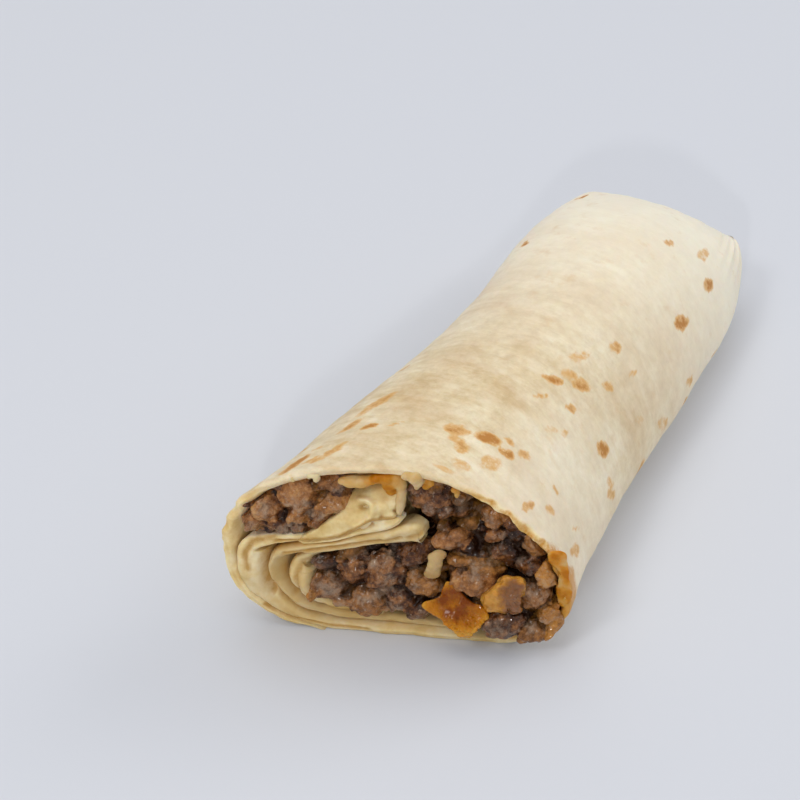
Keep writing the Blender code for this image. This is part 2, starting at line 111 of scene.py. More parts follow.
def surfaced(tree, values, height=None, strength=1.0, distance=0.0):
    """Give a material its surface shader, with fine relief where a height is given."""
    if height is not None:
        relief = {"Height": height, "Strength": strength, "Distance": distance}
        values = {**values, "Normal": add(tree, "ShaderNodeBump", relief).outputs["Normal"]}
    shader = add(tree, "ShaderNodeBsdfPrincipled", values)
    add(tree, "ShaderNodeOutputMaterial", {"Surface": shader.outputs["BSDF"]})


def new_piece(name, points, edges=(), faces=(), look=None):
    """Mesh object in the scene from its points, edges and faces."""
    mesh = bpy.data.meshes.new(name)
    mesh.from_pydata(points, edges, faces)
    if look:
        mesh.materials.append(look)
    return in_scene(bpy.data.objects.new(name, mesh))


floor_look, tree = new_material("pale_sweep")
surfaced(tree, {"Base Color": (*FLOOR_COLOUR, 1.0), "Roughness": 0.8, "Specular IOR Level": 0.1})
corners = [(x * FLOOR_HALF, y * FLOOR_HALF, 0.0) for x, y in ((-1, -1), (1, -1), (1, 1), (-1, 1))]
floor = new_piece("floor", corners, faces=[(0, 1, 2, 3)], look=floor_look)

for name, place, side, power in SOFT_BOXES:
    light = bpy.data.lights.new(name, "AREA")
    light.size = side
    light.energy = power
    box = in_scene(bpy.data.objects.new(name, light))
    box.location = place
    box.rotation_euler = (-Vector(place)).to_track_quat("-Z", "Y").to_euler()
sky = bpy.data.worlds.new("studio")
sky.use_nodes = True
sky.node_tree.nodes["Background"].inputs["Color"].default_value = (*SKY_COLOUR, 1.0)
sky.node_tree.nodes["Background"].inputs["Strength"].default_value = SKY_STRENGTH
bpy.context.scene.world = sky


# Outer wrap: one thin flour tortilla, rolled clockwise from its edge under the left side
# over the roof, down the right, back along the table and up inside the left to the lip.
# Made as a grid that runs along the roll and, across, from its outer side to its inner.
LENGTH = 127.7
CUT_SLANT = math.radians(22.0)
CUT_MIDDLE = -0.4
UPPER_RIGHT = (1.0, 12.5, 31.8, 30.1, 1.7)
UPPER_LEFT = (1.0, 21.0, 34.6, 21.6, 2.3)
LOWER_LEFT = (-12.0, 21.0, 21.6, 21.0, 2.4)
LOWER_RIGHT = (18.0, 12.5, 14.8, 12.5, 1.8)
LEFT_REACH = LOWER_LEFT[0] - LOWER_LEFT[2] - CUT_MIDDLE
WIDTH_ALONG = ((0.0, 1.0), (0.1, 0.918), (0.25, 0.847), (0.5, 0.748), (0.75, 0.75), (1.0, 0.7))
HEIGHT_ALONG = ((0.0, 1.0), (0.25, 0.93), (0.6, 0.851), (1.0, 0.733))
SIDESTEP_ALONG = ((0.0, 0.0), (0.25, -0.2), (0.5, 0.9), (0.75, -0.8), (1.0, -3.2))
END_TAPER = 34.0
END_ROUNDNESS = 1.72
END_HEIGHT = 17.3
FOOT_TAPER = 17.0
FOOT_ROUNDNESS = 2.0
END_NARROWING = 0.234
END_FLAT = 0.3
CORNER_ROUNDNESS = 3.0
# How the rows across a sheet spread from its cut edge (0) to its far end (1)
ROW_SPREAD = ((0.04, 0.0), (0.12, 0.012), (0.35, 0.14), (0.88, 0.88))
FAR_END_SHARPNESS = 24.0


def between(knots, t):
    """Values at every t on a smooth curve through (t, value) knots, level past its ends."""
    at, value = np.array(knots).T
    secants = np.diff(value) / np.diff(at)
    before, after = np.append(secants[0], secants), np.append(secants, secants[-1])
    together = np.where(before + after == 0, 1.0, before + after)
    slopes = np.where(before * after > 0, 2 * before * after / together, 0.0)
    t = np.clip(t, at[0], at[-1])
    upper = np.clip(np.searchsorted(at, t, side="right"), 1, len(at) - 1)
    span = at[upper] - at[upper - 1]
    s = (t - at[upper - 1]) / span
    rise = 3 * s ** 2 - 2 * s ** 3
    bend = slopes[upper - 1] * (s ** 3 - 2 * s ** 2 + s) + slopes[upper] * (s ** 3 - s ** 2)
    return value[upper - 1] + (value[upper] - value[upper - 1]) * rise + bend * span


def closing(distance_from_end, taper, roundness):
    """1 well before the closed end, falling to 0 on a rounded curve at the end."""
    past = np.clip(1.0 - distance_from_end / taper, 0.0, 1.0)
    return (1.0 - past ** roundness) ** (1.0 / roundness)


def carried(section):
    """Places in metres of points given as (u, v) on the cut face and a depth behind it."""
    u, v, depth = section.T
    across = (u - CUT_MIDDLE) * math.cos(CUT_SLANT)
    t = depth / LENGTH
    to_end = LENGTH - depth
    narrowing = 1.0 - END_NARROWING * (1.0 - closing(to_end, END_TAPER, CORNER_ROUNDNESS))
    x = across * between(WIDTH_ALONG, t) * narrowing + between(SIDESTEP_ALONG, t)
    y = depth + (1.0 - t) * across * math.tan(CUT_SLANT)
    above = v * between(HEIGHT_ALONG, t) - END_HEIGHT
    top = closing(to_end, END_TAPER, END_ROUNDNESS)
    foot = closing(to_end, FOOT_TAPER, FOOT_ROUNDNESS)
    z = END_HEIGHT + above * np.where(above > 0, top, foot)
    middle = (LENGTH - END_FLAT + LEFT_REACH * math.sin(CUT_SLANT)) / 2
    return np.column_stack((x, y - middle, z)) * MM


def quarter(sizes, first_angle, last_angle, steps):
    """Points of one quarter of the outline, with its last one."""
    centre_u, centre_v, half_width, half_height, roundness = sizes
    angles = np.radians(np.linspace(first_angle, last_angle, steps + 1))
    along, up = np.cos(angles), np.sin(angles)
    u = centre_u + half_width * np.copysign(np.abs(along) ** (2 / roundness), along)
    v = centre_v + half_height * np.copysign(np.abs(up) ** (2 / roundness), up)
    return list(zip(u, v))


def arithmetic(tree):
    """A short form for one tree: maths("ADD", a, b) gives the socket of a + b."""
    def maths(operation, a, b=0.0):
        return add(tree, "ShaderNodeMath", {0: a, 1: b}, operation=operation).outputs[0]
    return maths


def new_tree(name, inputs):
    """Empty Geometry Nodes tree with its named inputs, and their sockets inside it."""
    group = bpy.data.node_groups.new(name, "GeometryNodeTree")
    face = group.interface
    face.new_socket(name="Geometry", in_out="INPUT", socket_type="NodeSocketGeometry")
    for label, kind in inputs.items():
        face.new_socket(name=label, in_out="INPUT", socket_type="NodeSocket" + kind)
    face.new_socket(name="Geometry", in_out="OUTPUT", socket_type="NodeSocketGeometry")
    return group, add(group, "NodeGroupInput").outputs


def finish_tree(group, geometry, look):
    """Let a tree end in real geometry with its material."""
    geometry = add(group, "GeometryNodeRealizeInstances", {"Geometry": geometry}).outputs[0]
    geometry = add(group, "GeometryNodeSetMaterial", {"Geometry": geometry, "Material": look}).outputs[0]
    add(group, "NodeGroupOutput", {"Geometry": geometry})
    return group


def run_tree(made, tree, inputs):
    """Give an object a Geometry Nodes tree, with the tree's inputs set by identifier."""
    modifier = made.modifiers.new(tree.name, "NODES")
    modifier.node_group = tree
    for socket in tree.interface.items_tree:
        if socket.name in inputs:
            modifier[socket.identifier] = inputs[socket.name]


def rolled_sheet_tree():
    """Tree that turns a path, with its wall thickness, into a sheet with a rounded cut edge."""
    group, given = new_tree("rolled_sheet", {
        "Steps Along": "Int", "Steps Across": "Int", "Outer Share": "Float", "Edge Share": "Float",
        "Edge Rounding": "Float", "Tip Rounding": "Float", "Material": "Material"})
    maths = arithmetic(group)

    def named(name, kind="FLOAT"):
        return add(group, "GeometryNodeInputNamedAttribute", {"Name": name}, data_type=kind).outputs[0]

    path = add(group, "GeometryNodeMeshToCurve", {"Mesh": given["Geometry"]})
    path = add(group, "GeometryNodeCurveSplineType", {"Curve": path.outputs[0]}, spline_type="CATMULL_ROM")
    path = add(group, "GeometryNodeResampleCurve", {"Curve": path.outputs[0], "Count": given["Steps Along"]})
    grid = add(group, "GeometryNodeMeshGrid", {
        "Size X": 1.0, "Size Y": 1.0, "Vertices X": given["Steps Along"],
        "Vertices Y": given["Steps Across"]})
    place = add(group, "ShaderNodeSeparateXYZ", {0: add(group, "GeometryNodeInputPosition").outputs[0]})
    share_along = maths("ADD", place.outputs["X"], 0.5)
    share_across = maths("ADD", place.outputs["Y"], 0.5)
    number = maths("ROUND", maths("MULTIPLY", share_along, maths("SUBTRACT", given["Steps Along"], 1.0)))

    def on_path(value, kind="FLOAT"):
        return add(group, "GeometryNodeSampleIndex", {
            "Geometry": path.outputs[0], "Value": value, "Index": number}, data_type=kind).outputs[0]

    tangent = add(group, "ShaderNodeSeparateXYZ", {
        0: on_path(add(group, "GeometryNodeInputTangent").outputs[0], "FLOAT_VECTOR")})
    inward = add(group, "ShaderNodeCombineXYZ", {"X": tangent.outputs["Y"],
                                                 "Y": maths("MULTIPLY", tangent.outputs["X"], -1.0)})
    parameter = add(group, "GeometryNodeSplineParameter")
    length = on_path(parameter.outputs["Length"])
    whole = on_path(add(group, "GeometryNodeSplineLength").outputs["Length"])

    # Across the sheet: outer side, rounded cut edge, inner side
    split = given["Outer Share"]
    past_split = maths("SUBTRACT", share_across, split)
    outer_run = maths("DIVIDE", maths("MULTIPLY", past_split, -1.0), split)
    inner_run = maths("DIVIDE", past_split, maths("SUBTRACT", 1.0, split))
    run = maths("MAXIMUM", outer_run, inner_run)
    round_edge = add(group, "ShaderNodeMapRange", {
        "Value": past_split, "From Min": maths("MULTIPLY", given["Edge Share"], -1.0),
        "From Max": given["Edge Share"], "To Min": 0.0, "To Max": math.pi}).outputs[0]
    inner = maths("MULTIPLY", maths("SUBTRACT", 1.0, maths("COSINE", round_edge)), 0.5)
    edge_face = maths("SINE", round_edge)
    spread = add(group, "ShaderNodeFloatCurve", {"Value": run})
    curve = spread.mapping.curves[0]
    for at, value in ROW_SPREAD:
        curve.points.new(at, value)
    spread.mapping.update()
    edge_back = maths("MULTIPLY", given["Edge Rounding"], maths("SUBTRACT", 1.0, edge_face))
    depth = maths("ADD", maths("ADD", edge_back, on_path(named("recess"))),
                  maths("MULTIPLY", on_path(named("reach")), spread.outputs[0]))

    # The wall thins to nothing at the far end and at both ends of the path
    far = maths("SQRT", maths("SUBTRACT", 1.0, maths("POWER", run, FAR_END_SHARPNESS)))
    from_tip = maths("MINIMUM", length, maths("SUBTRACT", whole, length))
    tip = maths("SUBTRACT", 1.0, maths("MINIMUM", maths("DIVIDE", from_tip, given["Tip Rounding"]), 1.0))
    tip = maths("SQRT", maths("SUBTRACT", 1.0, maths("POWER", tip, 2.0)))
    thinned = maths("MULTIPLY", far, tip)
    share_in = maths("ADD", maths("MULTIPLY", maths("SUBTRACT", inner, 0.5), thinned), 0.5)
    from_outside = maths("MULTIPLY", on_path(named("wall")), share_in)
    offset = add(group, "ShaderNodeVectorMath", {
        0: inward.outputs[0], "Scale": from_outside}, operation="SCALE")
    flat = add(group, "ShaderNodeVectorMath", {
        0: on_path(add(group, "GeometryNodeInputPosition").outputs[0], "FLOAT_VECTOR"),
        1: offset.outputs[0]}, operation="ADD")
    where = add(group, "ShaderNodeVectorMath", {
        0: flat.outputs[0], 1: add(group, "ShaderNodeCombineXYZ", {"Z": depth}).outputs[0]}, operation="ADD")

    geometry = grid.outputs["Mesh"]
    for name, value in (("edge_face", edge_face), ("inner_side", inner), ("rolled_length", length)):
        geometry = add(group, "GeometryNodeStoreNamedAttribute", {
            "Geometry": geometry, "Name": name, "Value": value}, data_type="FLOAT", domain="POINT").outputs[0]
    geometry = add(group, "GeometryNodeSetPosition", {
        "Geometry": geometry, "Position": where.outputs[0]}).outputs[0]
    return finish_tree(group, geometry, given["Material"])


def rolled_length_of(points):
    """Lengths along a path of (u, v) points, from its start to each point."""
    steps = [math.hypot(b[0] - a[0], b[1] - a[1]) for a, b in zip(points, points[1:])]
    return np.concatenate(([0.0], np.cumsum(steps)))


def rolled_sheet(name, path, look, steps_along, steps_across, outer_share, rounding, tip_rounding):
    """Mesh object of a sheet in (u, v, depth), from path points (u, v, wall, recess, reach)."""
    made = new_piece(name, [(u, v, 0.0) for u, v, *rest in path], [(i, i + 1) for i in range(len(path) - 1)])
    for number, kind in enumerate(("wall", "recess", "reach")):
        values = made.data.attributes.new(kind, "FLOAT", "POINT")
        values.data.foreach_set("value", [point[number + 2] for point in path])
    run_tree(made, SHEET_TREE, {
        "Steps Along": steps_along, "Steps Across": steps_across, "Outer Share": outer_share,
        "Edge Share": EDGE_SHARE, "Edge Rounding": rounding, "Tip Rounding": tip_rounding, "Material": look})
    return plain_mesh(made)


def plain_mesh(made):
    """The object with its modifiers turned into its mesh."""
    graph = bpy.context.evaluated_depsgraph_get()
    done = bpy.data.meshes.new_from_object(made.evaluated_get(graph))
    made.modifiers.clear()
    made.data = done
    return made


def read(mesh, kind):
    """The mesh's points ("co") or their normals ("normal") as an array."""
    flat = np.empty(len(mesh.vertices) * 3)
    mesh.vertices.foreach_get(kind, flat)
    return flat.reshape(-1, 3)


def write_points(mesh, points):
    """Move the mesh's points to those of the array, and shade it smooth."""
    mesh.vertices.foreach_set("co", points.ravel())
    mesh.update()
    mesh.shade_smooth()


def read_values(mesh, name):
    """A float attribute of the mesh's points as an array."""
    values = np.empty(len(mesh.vertices))
    mesh.attributes[name].data.foreach_get("value", values)
    return values


def write_values(mesh, **named):
    """Store arrays, or one number for all points, as float attributes of the mesh's points."""
    for name, values in named.items():
        kept = mesh.attributes.get(name) or mesh.attributes.new(name, "FLOAT", "POINT")
        kept.data.foreach_set("value", np.full(len(mesh.vertices), values, dtype=np.float32))


def fade(value, none, full):
    """From 0 to 1 as the value goes from none to full, and level past both."""
    return np.clip((value - none) / (full - none), 0.0, 1.0)


def waves(points, wave_length, stretch=(1.0, 1.0, 1.0), shift=0.0):
    """Soft noise from about -1 to 1 at each point, with one size of wave."""
    scaled = points / wave_length / np.array(stretch) + shift
    return np.array([noise.noise(point) for point in scaled.tolist()])


def rippled(points, ripples):
    """Several sizes of soft noise together, from rows of height, wave length, stretch and shift."""
    return sum(height * waves(points, *ripple) for height, *ripple in ripples)


def weld(made, distance):
    """Merge points that meet, and turn the faces out."""
    bm = bmesh.new()
    bm.from_mesh(made.data)
    bmesh.ops.remove_doubles(bm, verts=bm.verts, dist=distance)
    bmesh.ops.recalc_face_normals(bm, faces=bm.faces)
    bm.to_mesh(made.data)
    bm.free()


def distance_to_line(points, line):
    """Shortest distance from each point to a line of straight spans."""
    best = np.full(len(points), np.inf)
    for start, stop in zip(line, line[1:]):
        start, run = np.array(start), np.array(stop) - np.array(start)
        share = np.clip((points - start) @ run / (run @ run), 0.0, 1.0)
        best = np.minimum(best, np.linalg.norm(points - start - share[:, None] * run, axis=1))
    return best


def hollow_of(section, cell_size, spread, full_depth):
    """How far each point lies behind the front of its neighbourhood, from 0 to 1."""
    low = section[:, :2].min(axis=0)
    cell = ((section[:, :2] - low) / cell_size).astype(int) + spread
    front = np.full(tuple(cell.max(axis=0) + spread + 1), HOLLOW_BACK)
    np.minimum.at(front, (cell[:, 0], cell[:, 1]), section[:, 2])
    eased = np.zeros_like(front)
    shifts = range(-spread, spread + 1)
    for du in shifts:
        for dv in shifts:
            eased += np.roll(front, (du, dv), axis=(0, 1)) / len(shifts) ** 2
    return np.clip((section[:, 2] - eased[cell[:, 0], cell[:, 1]]) / full_depth, 0.0, 1.0)


def carve(section, lines):
    """Press grooves into the cut face along lines, and return how far into one each point is."""
    near_cut = fade(section[:, 2], CARVED_DEPTH, 0.0)
    deepest = np.zeros(len(section))
    for half_width, depth, line in lines:
        share = near_cut * np.exp(-(distance_to_line(section[:, :2], line) / half_width) ** 2)
        section[:, 2] += depth * share
        deepest = np.maximum(deepest, share * math.copysign(1.0, depth))
    return np.clip(deepest, 0.0, 1.0)


def ridged(section, made, count):
    """Raise fine ridges along the cut edge of a sheet, and return how far between two each point is."""
    rolled = read_values(made.data, "rolled_length")
    along = np.column_stack((rolled, np.zeros(len(rolled)), np.zeros(len(rolled))))
    wander = RIDGE_WANDER * waves(along, RIDGE_RUN, shift=14.0 + count)
    phase = count * read_values(made.data, "inner_side") + wander
    share = fade(section[:, 2], CARVED_DEPTH, 0.0) * read_values(made.data, "edge_face")
    low = 0.5 - 0.5 * np.cos(2 * math.pi * phase)
    section[:, 2] += RIDGE_DEPTH * share * (low - 0.5)
    return share * low


CARVED_DEPTH = 4.0
HOLLOW_BACK = 9.0
EDGE_SHARE = 0.05
RIDGE_DEPTH = 0.2
RIDGE_WANDER = 0.7
RIDGE_RUN = 9.0
RIDGE_SHADE = 0.25
SHEET_TREE = rolled_sheet_tree()


def painting(tree):
    """Short forms for one material: noise, a stored value, a ramp, a mix, a rise and the place."""
    place = add(tree, "ShaderNodeTexCoord").outputs["Object"]

    def speckle(scale, detail=3.0, roughness=0.5, at=place):
        return add(tree, "ShaderNodeTexNoise", {"Vector": at, "Scale": scale, "Detail": detail,
                                                "Roughness": roughness}).outputs["Fac"]

    def stored(name):
        return add(tree, "ShaderNodeAttribute", attribute_name=name).outputs["Fac"]

    def ramped(value, *stops):
        ramp = add(tree, "ShaderNodeValToRGB", {"Fac": value})
        while len(ramp.color_ramp.elements) < len(stops):
            ramp.color_ramp.elements.new(0.5)
        for element, (at, colour) in zip(ramp.color_ramp.elements, stops):
            element.position = at
            element.color = (*colour, 1.0)
        return ramp.outputs["Color"]

    def rising(value, low, high):
        return ramped(value, (low, (0.0, 0.0, 0.0)), (high, (1.0, 1.0, 1.0)))

    def mixed(share, a, b, blend="MIX"):
        inputs = {0: share, 6: a, 7: (*b, 1.0) if isinstance(b, tuple) else b}
        return add(tree, "ShaderNodeMix", inputs, data_type="RGBA", blend_type=blend).outputs[2]

    return speckle, stored, ramped, mixed, rising, place


def dough_material():
    """Flour tortilla: matte cream, flour mottling, toasted spots, yellower cut edge, painted light and shade.
    """
    made, tree = new_material("toasted_flour_tortilla")
    maths = arithmetic(tree)
    speckle, stored, ramped, mixed, rising, place = painting(tree)
    blotches = ramped(speckle(75.0, 5.0), (0.33, (0.73, 0.565, 0.35)), (0.5, (0.81, 0.675, 0.455)),
                      (0.68, (0.89, 0.78, 0.57)))
    flour = ramped(speckle(420.0, 6.0, 0.7), (0.3, (0.82, 0.77, 0.68)), (0.6, (1.0, 1.0, 1.0)))
    surface = mixed(0.9, blotches, flour, "MULTIPLY")
    # Streaks round the roll, paler and darker: partly mottling, partly painted light and shade
    squeezed = add(tree, "ShaderNodeMapping", {"Vector": place, "Scale": (0.6, 1.8, 0.6)}).outputs[0]
    patches = ramped(speckle(190.0, 6.0, 0.7, squeezed), (0.4, (0.90, 0.85, 0.75)), (0.58, (1.0, 1.0, 1.0)))
    surface = mixed(0.9, surface, patches, "MULTIPLY")
    # Painted light: paler where the sheet's pale share is high, at the far end and on the right near the cut
    surface = mixed(maths("MULTIPLY", stored("pale"), 0.8), surface, (0.98, 0.885, 0.72))
    freckle = rising(speckle(230.0, 4.0, 0.6), 0.60, 0.74)
    surface = mixed(maths("MULTIPLY", freckle, 0.4), surface, (0.72, 0.50, 0.27))
    ragged = maths("MULTIPLY", maths("SUBTRACT", speckle(620.0, 6.0, 0.68), 0.5), 3.2)

    def ragged_share(name, amount):
        return maths("MULTIPLY", stored(name), maths("ADD", 1.0, maths("MULTIPLY", ragged, amount)))

    toast = ragged_share("toast", 1.0)
    surface = mixed(maths("MULTIPLY", rising(toast, 0.12, 0.42), 0.72), surface, (0.70, 0.36, 0.08))
    surface = mixed(maths("MULTIPLY", rising(toast, 0.42, 0.95), 0.85), surface, (0.46, 0.18, 0.025))
    cut = ramped(speckle(170.0, 6.0, 0.6), (0.3, (0.66, 0.44, 0.15)), (0.48, (0.83, 0.63, 0.30)),
                 (0.64, (0.92, 0.78, 0.49)))
    # Painted shade: the cut goes dark ochre where it lies back
    cut = mixed(maths("MULTIPLY", stored("hollow"), 0.9), cut, (0.47, 0.305, 0.105))
    surface = mixed(rising(stored("cut_face"), 0.05, 0.45), surface, cut)
    # Painted shade: dark orange-brown in grooves, creases and along layer rims
    crease = rising(ragged_share("crease", 0.6), 0.1, 0.9)
    surface = mixed(maths("MULTIPLY", crease, 0.82), surface, (0.46, 0.235, 0.04))
    grease = rising(ragged_share("grease", 1.2), 0.15, 0.6)
    surface = mixed(maths("MULTIPLY", grease, 0.88), surface, (0.58, 0.255, 0.02))
    relief = maths("ADD", maths("MULTIPLY", speckle(900.0), 0.35), speckle(240.0))
    surfaced(tree, {
        "Base Color": surface, "Roughness": maths("SUBTRACT", 0.62, maths("MULTIPLY", grease, 0.3)),
        "Specular IOR Level": 0.22, "Subsurface Weight": 0.25, "Subsurface Radius": (1.0, 0.55, 0.25),
        "Subsurface Scale": 0.0025}, relief, strength=0.35, distance=0.0004)
    return made


DOUGH = dough_material()
ROLL_STEPS = 9
ROLL_SHORT = 54.0
# Wall thickness of the outer turn, by the share of the way round
WALL_ROUND = ((0.0, 0.08), (0.027, 0.7), (0.057, 1.5), (0.1, 2.1), (0.3, 2.3), (0.45, 1.8), (0.6, 1.6),
              (0.72, 1.8), (0.85, 2.1), (1.0, 2.1))
# The inner turn, from the underside up inside the left and along the band to the lip
INNER_TURN = (
    # u, v, wall, recess, reach
    (-9.0, 0.0, 2.1, 0.0, LENGTH), (-14.0, 0.12, 2.2, 0.1, LENGTH), (-18.7, 1.3, 2.4, 0.0, LENGTH),
    (-23.3, 3.5, 3.1, 0.0, 90.0), (-26.8, 6.4, 3.9, -0.2, 60.0), (-29.6, 9.8, 4.9, -0.4, ROLL_SHORT),
    (-31.1, 14.6, 5.1, -0.5, ROLL_SHORT), (-31.0, 19.4, 5.0, -0.3, ROLL_SHORT),
    (-29.6, 21.9, 4.1, 0.0, ROLL_SHORT), (-26.6, 22.8, 3.1, 0.2, ROLL_SHORT),
    (-22.5, 23.4, 2.8, 0.1, ROLL_SHORT), (-17.5, 24.4, 2.8, 0.0, ROLL_SHORT),
    (-13.5, 25.8, 3.2, -0.1, ROLL_SHORT), (-9.5, 27.5, 3.2, 0.0, ROLL_SHORT), (-5.5, 29.0, 3.0, 0.0, 14.0),
    (-2.3, 30.0, 2.4, -0.4, 4.5), (0.1, 31.3, 1.3, -0.5, 1.6),
)


# Toasted spots: places on the flat tortilla, in millimetres round the roll from its
# starting edge and behind the cut
TOAST_SPOTS = (
    # round, behind, half length, half width, turn in degrees, strength
    (54.0, 5.0, 2.5, 1.1, 80, 0.95), (57.5, 5.0, 0.9, 0.5, 50, 0.6), (59.2, 5.3, 1.2, 0.7, 60, 0.6),
    (60.6, 7.2, 2.2, 1.2, 75, 0.6), (55.0, 10.0, 1.1, 0.7, 30, 0.4), (57.2, 17.2, 2.3, 1.2, 65, 0.65),
    (62.8, 15.6, 1.3, 0.8, 10, 0.95), (68.3, 16.0, 0.9, 0.5, 30, 0.5), (58.0, 25.0, 3.6, 1.5, 65, 0.5),
    (80.6, 15.6, 2.2, 1.2, -10, 0.65), (82.4, 12.6, 1.9, 0.9, -35, 0.5), (84.3, 10.6, 1.6, 1.2, -50, 0.6),
    (87.3, 16.0, 2.2, 1.3, 0, 1.0), (91.7, 18.0, 1.3, 0.7, -17, 0.55), (92.3, 14.4, 1.4, 0.9, 0, 0.95),
    (95.7, 16.8, 1.2, 0.9, 0, 0.5), (91.0, 9.8, 1.7, 1.7, 0, 0.42), (86.4, 6.0, 1.8, 1.1, -30, 0.35),
    (90.4, 40.8, 1.9, 0.9, 14, 1.0), (92.6, 45.0, 1.8, 1.2, 36, 0.4), (96.3, 44.4, 2.1, 1.3, 24, 0.7),
    (102.3, 50.0, 1.3, 1.1, 17, 0.45), (90.6, 34.8, 1.5, 0.5, 32, 0.6), (98.3, 36.8, 1.6, 0.8, 40, 0.6),
    (91.5, 51.2, 2.8, 1.2, 59, 0.4), (97.2, 60.4, 1.6, 1.2, 32, 0.65), (105.4, 59.2, 1.4, 0.8, 59, 0.45),
    (110.9, 36.0, 1.9, 1.4, 51, 1.0), (118.4, 32.4, 1.5, 1.0, 53, 0.4), (120.6, 31.0, 1.9, 1.0, 51, 0.6),
    (106.0, 15.2, 0.7, 0.6, 0, 0.5), (102.3, 5.6, 1.7, 0.6, 77, 0.6), (107.2, 9.2, 1.2, 1.0, 48, 0.4),
    (115.8, 12.8, 1.6, 0.5, 53, 0.35), (108.1, 83.7, 2.3, 1.4, 59, 0.85),
    (108.7, 101.7, 1.8, 1.3, 65, 0.75), (91.2, 101.3, 1.5, 1.1, 48, 0.5),
    (101.4, 108.5, 2.6, 1.6, 77, 0.35), (122.2, 77.7, 1.9, 1.0, 56, 0.5), (124.0, 62.4, 3.0, 1.2, 53, 0.35),
    (97.4, 27.6, 1.4, 0.9, 36, 0.3), (100.3, 29.6, 1.2, 1.0, 48, 0.3), (84.4, 3.2, 2.0, 0.8, -11, 0.3),
    (118.4, 8.8, 1.9, 1.2, 60, 0.5), (115.5, 52.4, 1.9, 1.4, 56, 0.2),
)
SEEN_ROUND = (53.0, 126.0)
HIDDEN_SPOTS = 70
# Round the roll: how yellow the cut edge is, how greasy and stained, and how ragged
CUT_SHARE = ((0.0, 1.0), (38.0, 0.9), (46.0, 0.4), (58.0, 0.06), (84.0, 0.08), (98.0, 0.7), (164.0, 1.0))
ROOF_GREASE = ((50.0, 0.0), (62.0, 0.6), (80.0, 0.8), (100.0, 0.55), (112.0, 0.8), (140.0, 0.9), (150.0, 0.0))
WALL_GREASE = ((84.0, 0.0), (92.0, 0.32), (110.0, 0.5), (114.0, 1.1), (134.0, 1.1), (140.0, 0.0))
WALL_STAIN = ((108.0, 0.0), (114.0, 1.0), (126.0, 1.0), (134.0, 0.0))
EDGE_RAGGED = ((28.0, 0.2), (36.0, 1.0), (42.0, 1.0), (50.0, 0.3), (88.0, 0.3), (98.0, 1.0), (122.0, 1.0),
               (130.0, 0.2))
# Grooves in the cut face: half width, depth and line, where the sheet is doubled or pleated.
# The first parts the wrap from the flap inside it, and is cut into both.
OUTER_PARTING = (0.6, 1.7, ((-24.6, 8.6), (-25.8, 11.6), (-26.1, 15.0), (-25.8, 18.2), (-24.0, 20.2),
                            (-19.6, 21.3)))
WRAP_CREASES = (
    (0.45, 1.0, ((-24.0, 21.6), (-18.0, 22.6), (-14.1, 23.7), (-11.2, 24.8), (-7.8, 27.0), (-5.4, 28.4))),
    (0.7, 0.3, ((-28.6, 15.0), (-29.2, 18.5), (-27.8, 21.6), (-24.0, 22.8))),
    (0.6, -0.45, ((-31.0, 9.0), (-33.2, 13.5), (-33.4, 19.0), (-33.0, 24.0))),
    (0.45, -0.4, ((-28.4, 13.0), (-28.5, 17.0), (-27.0, 20.4))),
    OUTER_PARTING,
    (0.4, 0.4, ((-26.0, 5.2), (-21.0, 2.6), (-14.0, 1.3), (-6.0, 1.0))),
)
SHEET_ROUND = 164.0
END_ROWS = 20.0
CUT_ROUNDING = 1.0
MIDDLE_OF_ROLL = np.array((1.0, 20.0))
EDGE_DEPTH = 3.0
# Soft noise: height, wave length, stretch and shift. Those of the body, the edge's pinch and
# the end's gathers are shares of the distance from the middle of the roll; the others millimetres.
BODY_RIPPLES = ((0.016, 17.0, (1, 1, 1), 3.0), (0.007, 8.0, (1.4, 1.4, 0.8), 12.0),
                (0.004, 4.0, (4.0, 4.0, 0.7), 31.0))
EDGE_RIPPLES = ((0.35, 5.0, (1, 1, 50)), (0.12, 1.2, (1, 1, 50)))
END_GATHERS = ((0.028, 3.4, (1, 1, 12), 77.0), (0.02, 7.0, (1, 1, 9), 19.0))


def outer_turn():
    """Path of the outer turn along the outline, from under the left side clockwise."""
    around = quarter(LOWER_LEFT, 266, 180, ROLL_STEPS)[:-1] + quarter(UPPER_LEFT, 180, 90, ROLL_STEPS)[:-1]
    around += quarter(UPPER_RIGHT, 90, 0, ROLL_STEPS)[:-1] + quarter(LOWER_RIGHT, 360, 270, ROLL_STEPS)
    around += [(9.0, 0.0), (0.0, 0.0)]
    shares = rolled_length_of(around)
    walls = between(WALL_ROUND, shares / shares[-1])
    return [(u, v, wall, 0.0, LENGTH) for (u, v), wall in zip(around, walls)]


def all_spots():
    """The spots that show, and a seeded draw of others for the rest of the tortilla."""
    draw = random.Random(21)
    spots = list(TOAST_SPOTS)
    while len(spots) < len(TOAST_SPOTS) + HIDDEN_SPOTS:
        round_roll, behind_cut = draw.uniform(0.0, SHEET_ROUND), draw.uniform(3.0, LENGTH)
        if not SEEN_ROUND[0] < round_roll < SEEN_ROUND[1]:
            size = draw.uniform(0.6, 1.8) * draw.uniform(0.7, 1.6)
            spots.append((round_roll, behind_cut, size, size * draw.uniform(0.45, 0.9), draw.uniform(0, 180),
                          draw.uniform(0.3, 1.0)))
    return spots


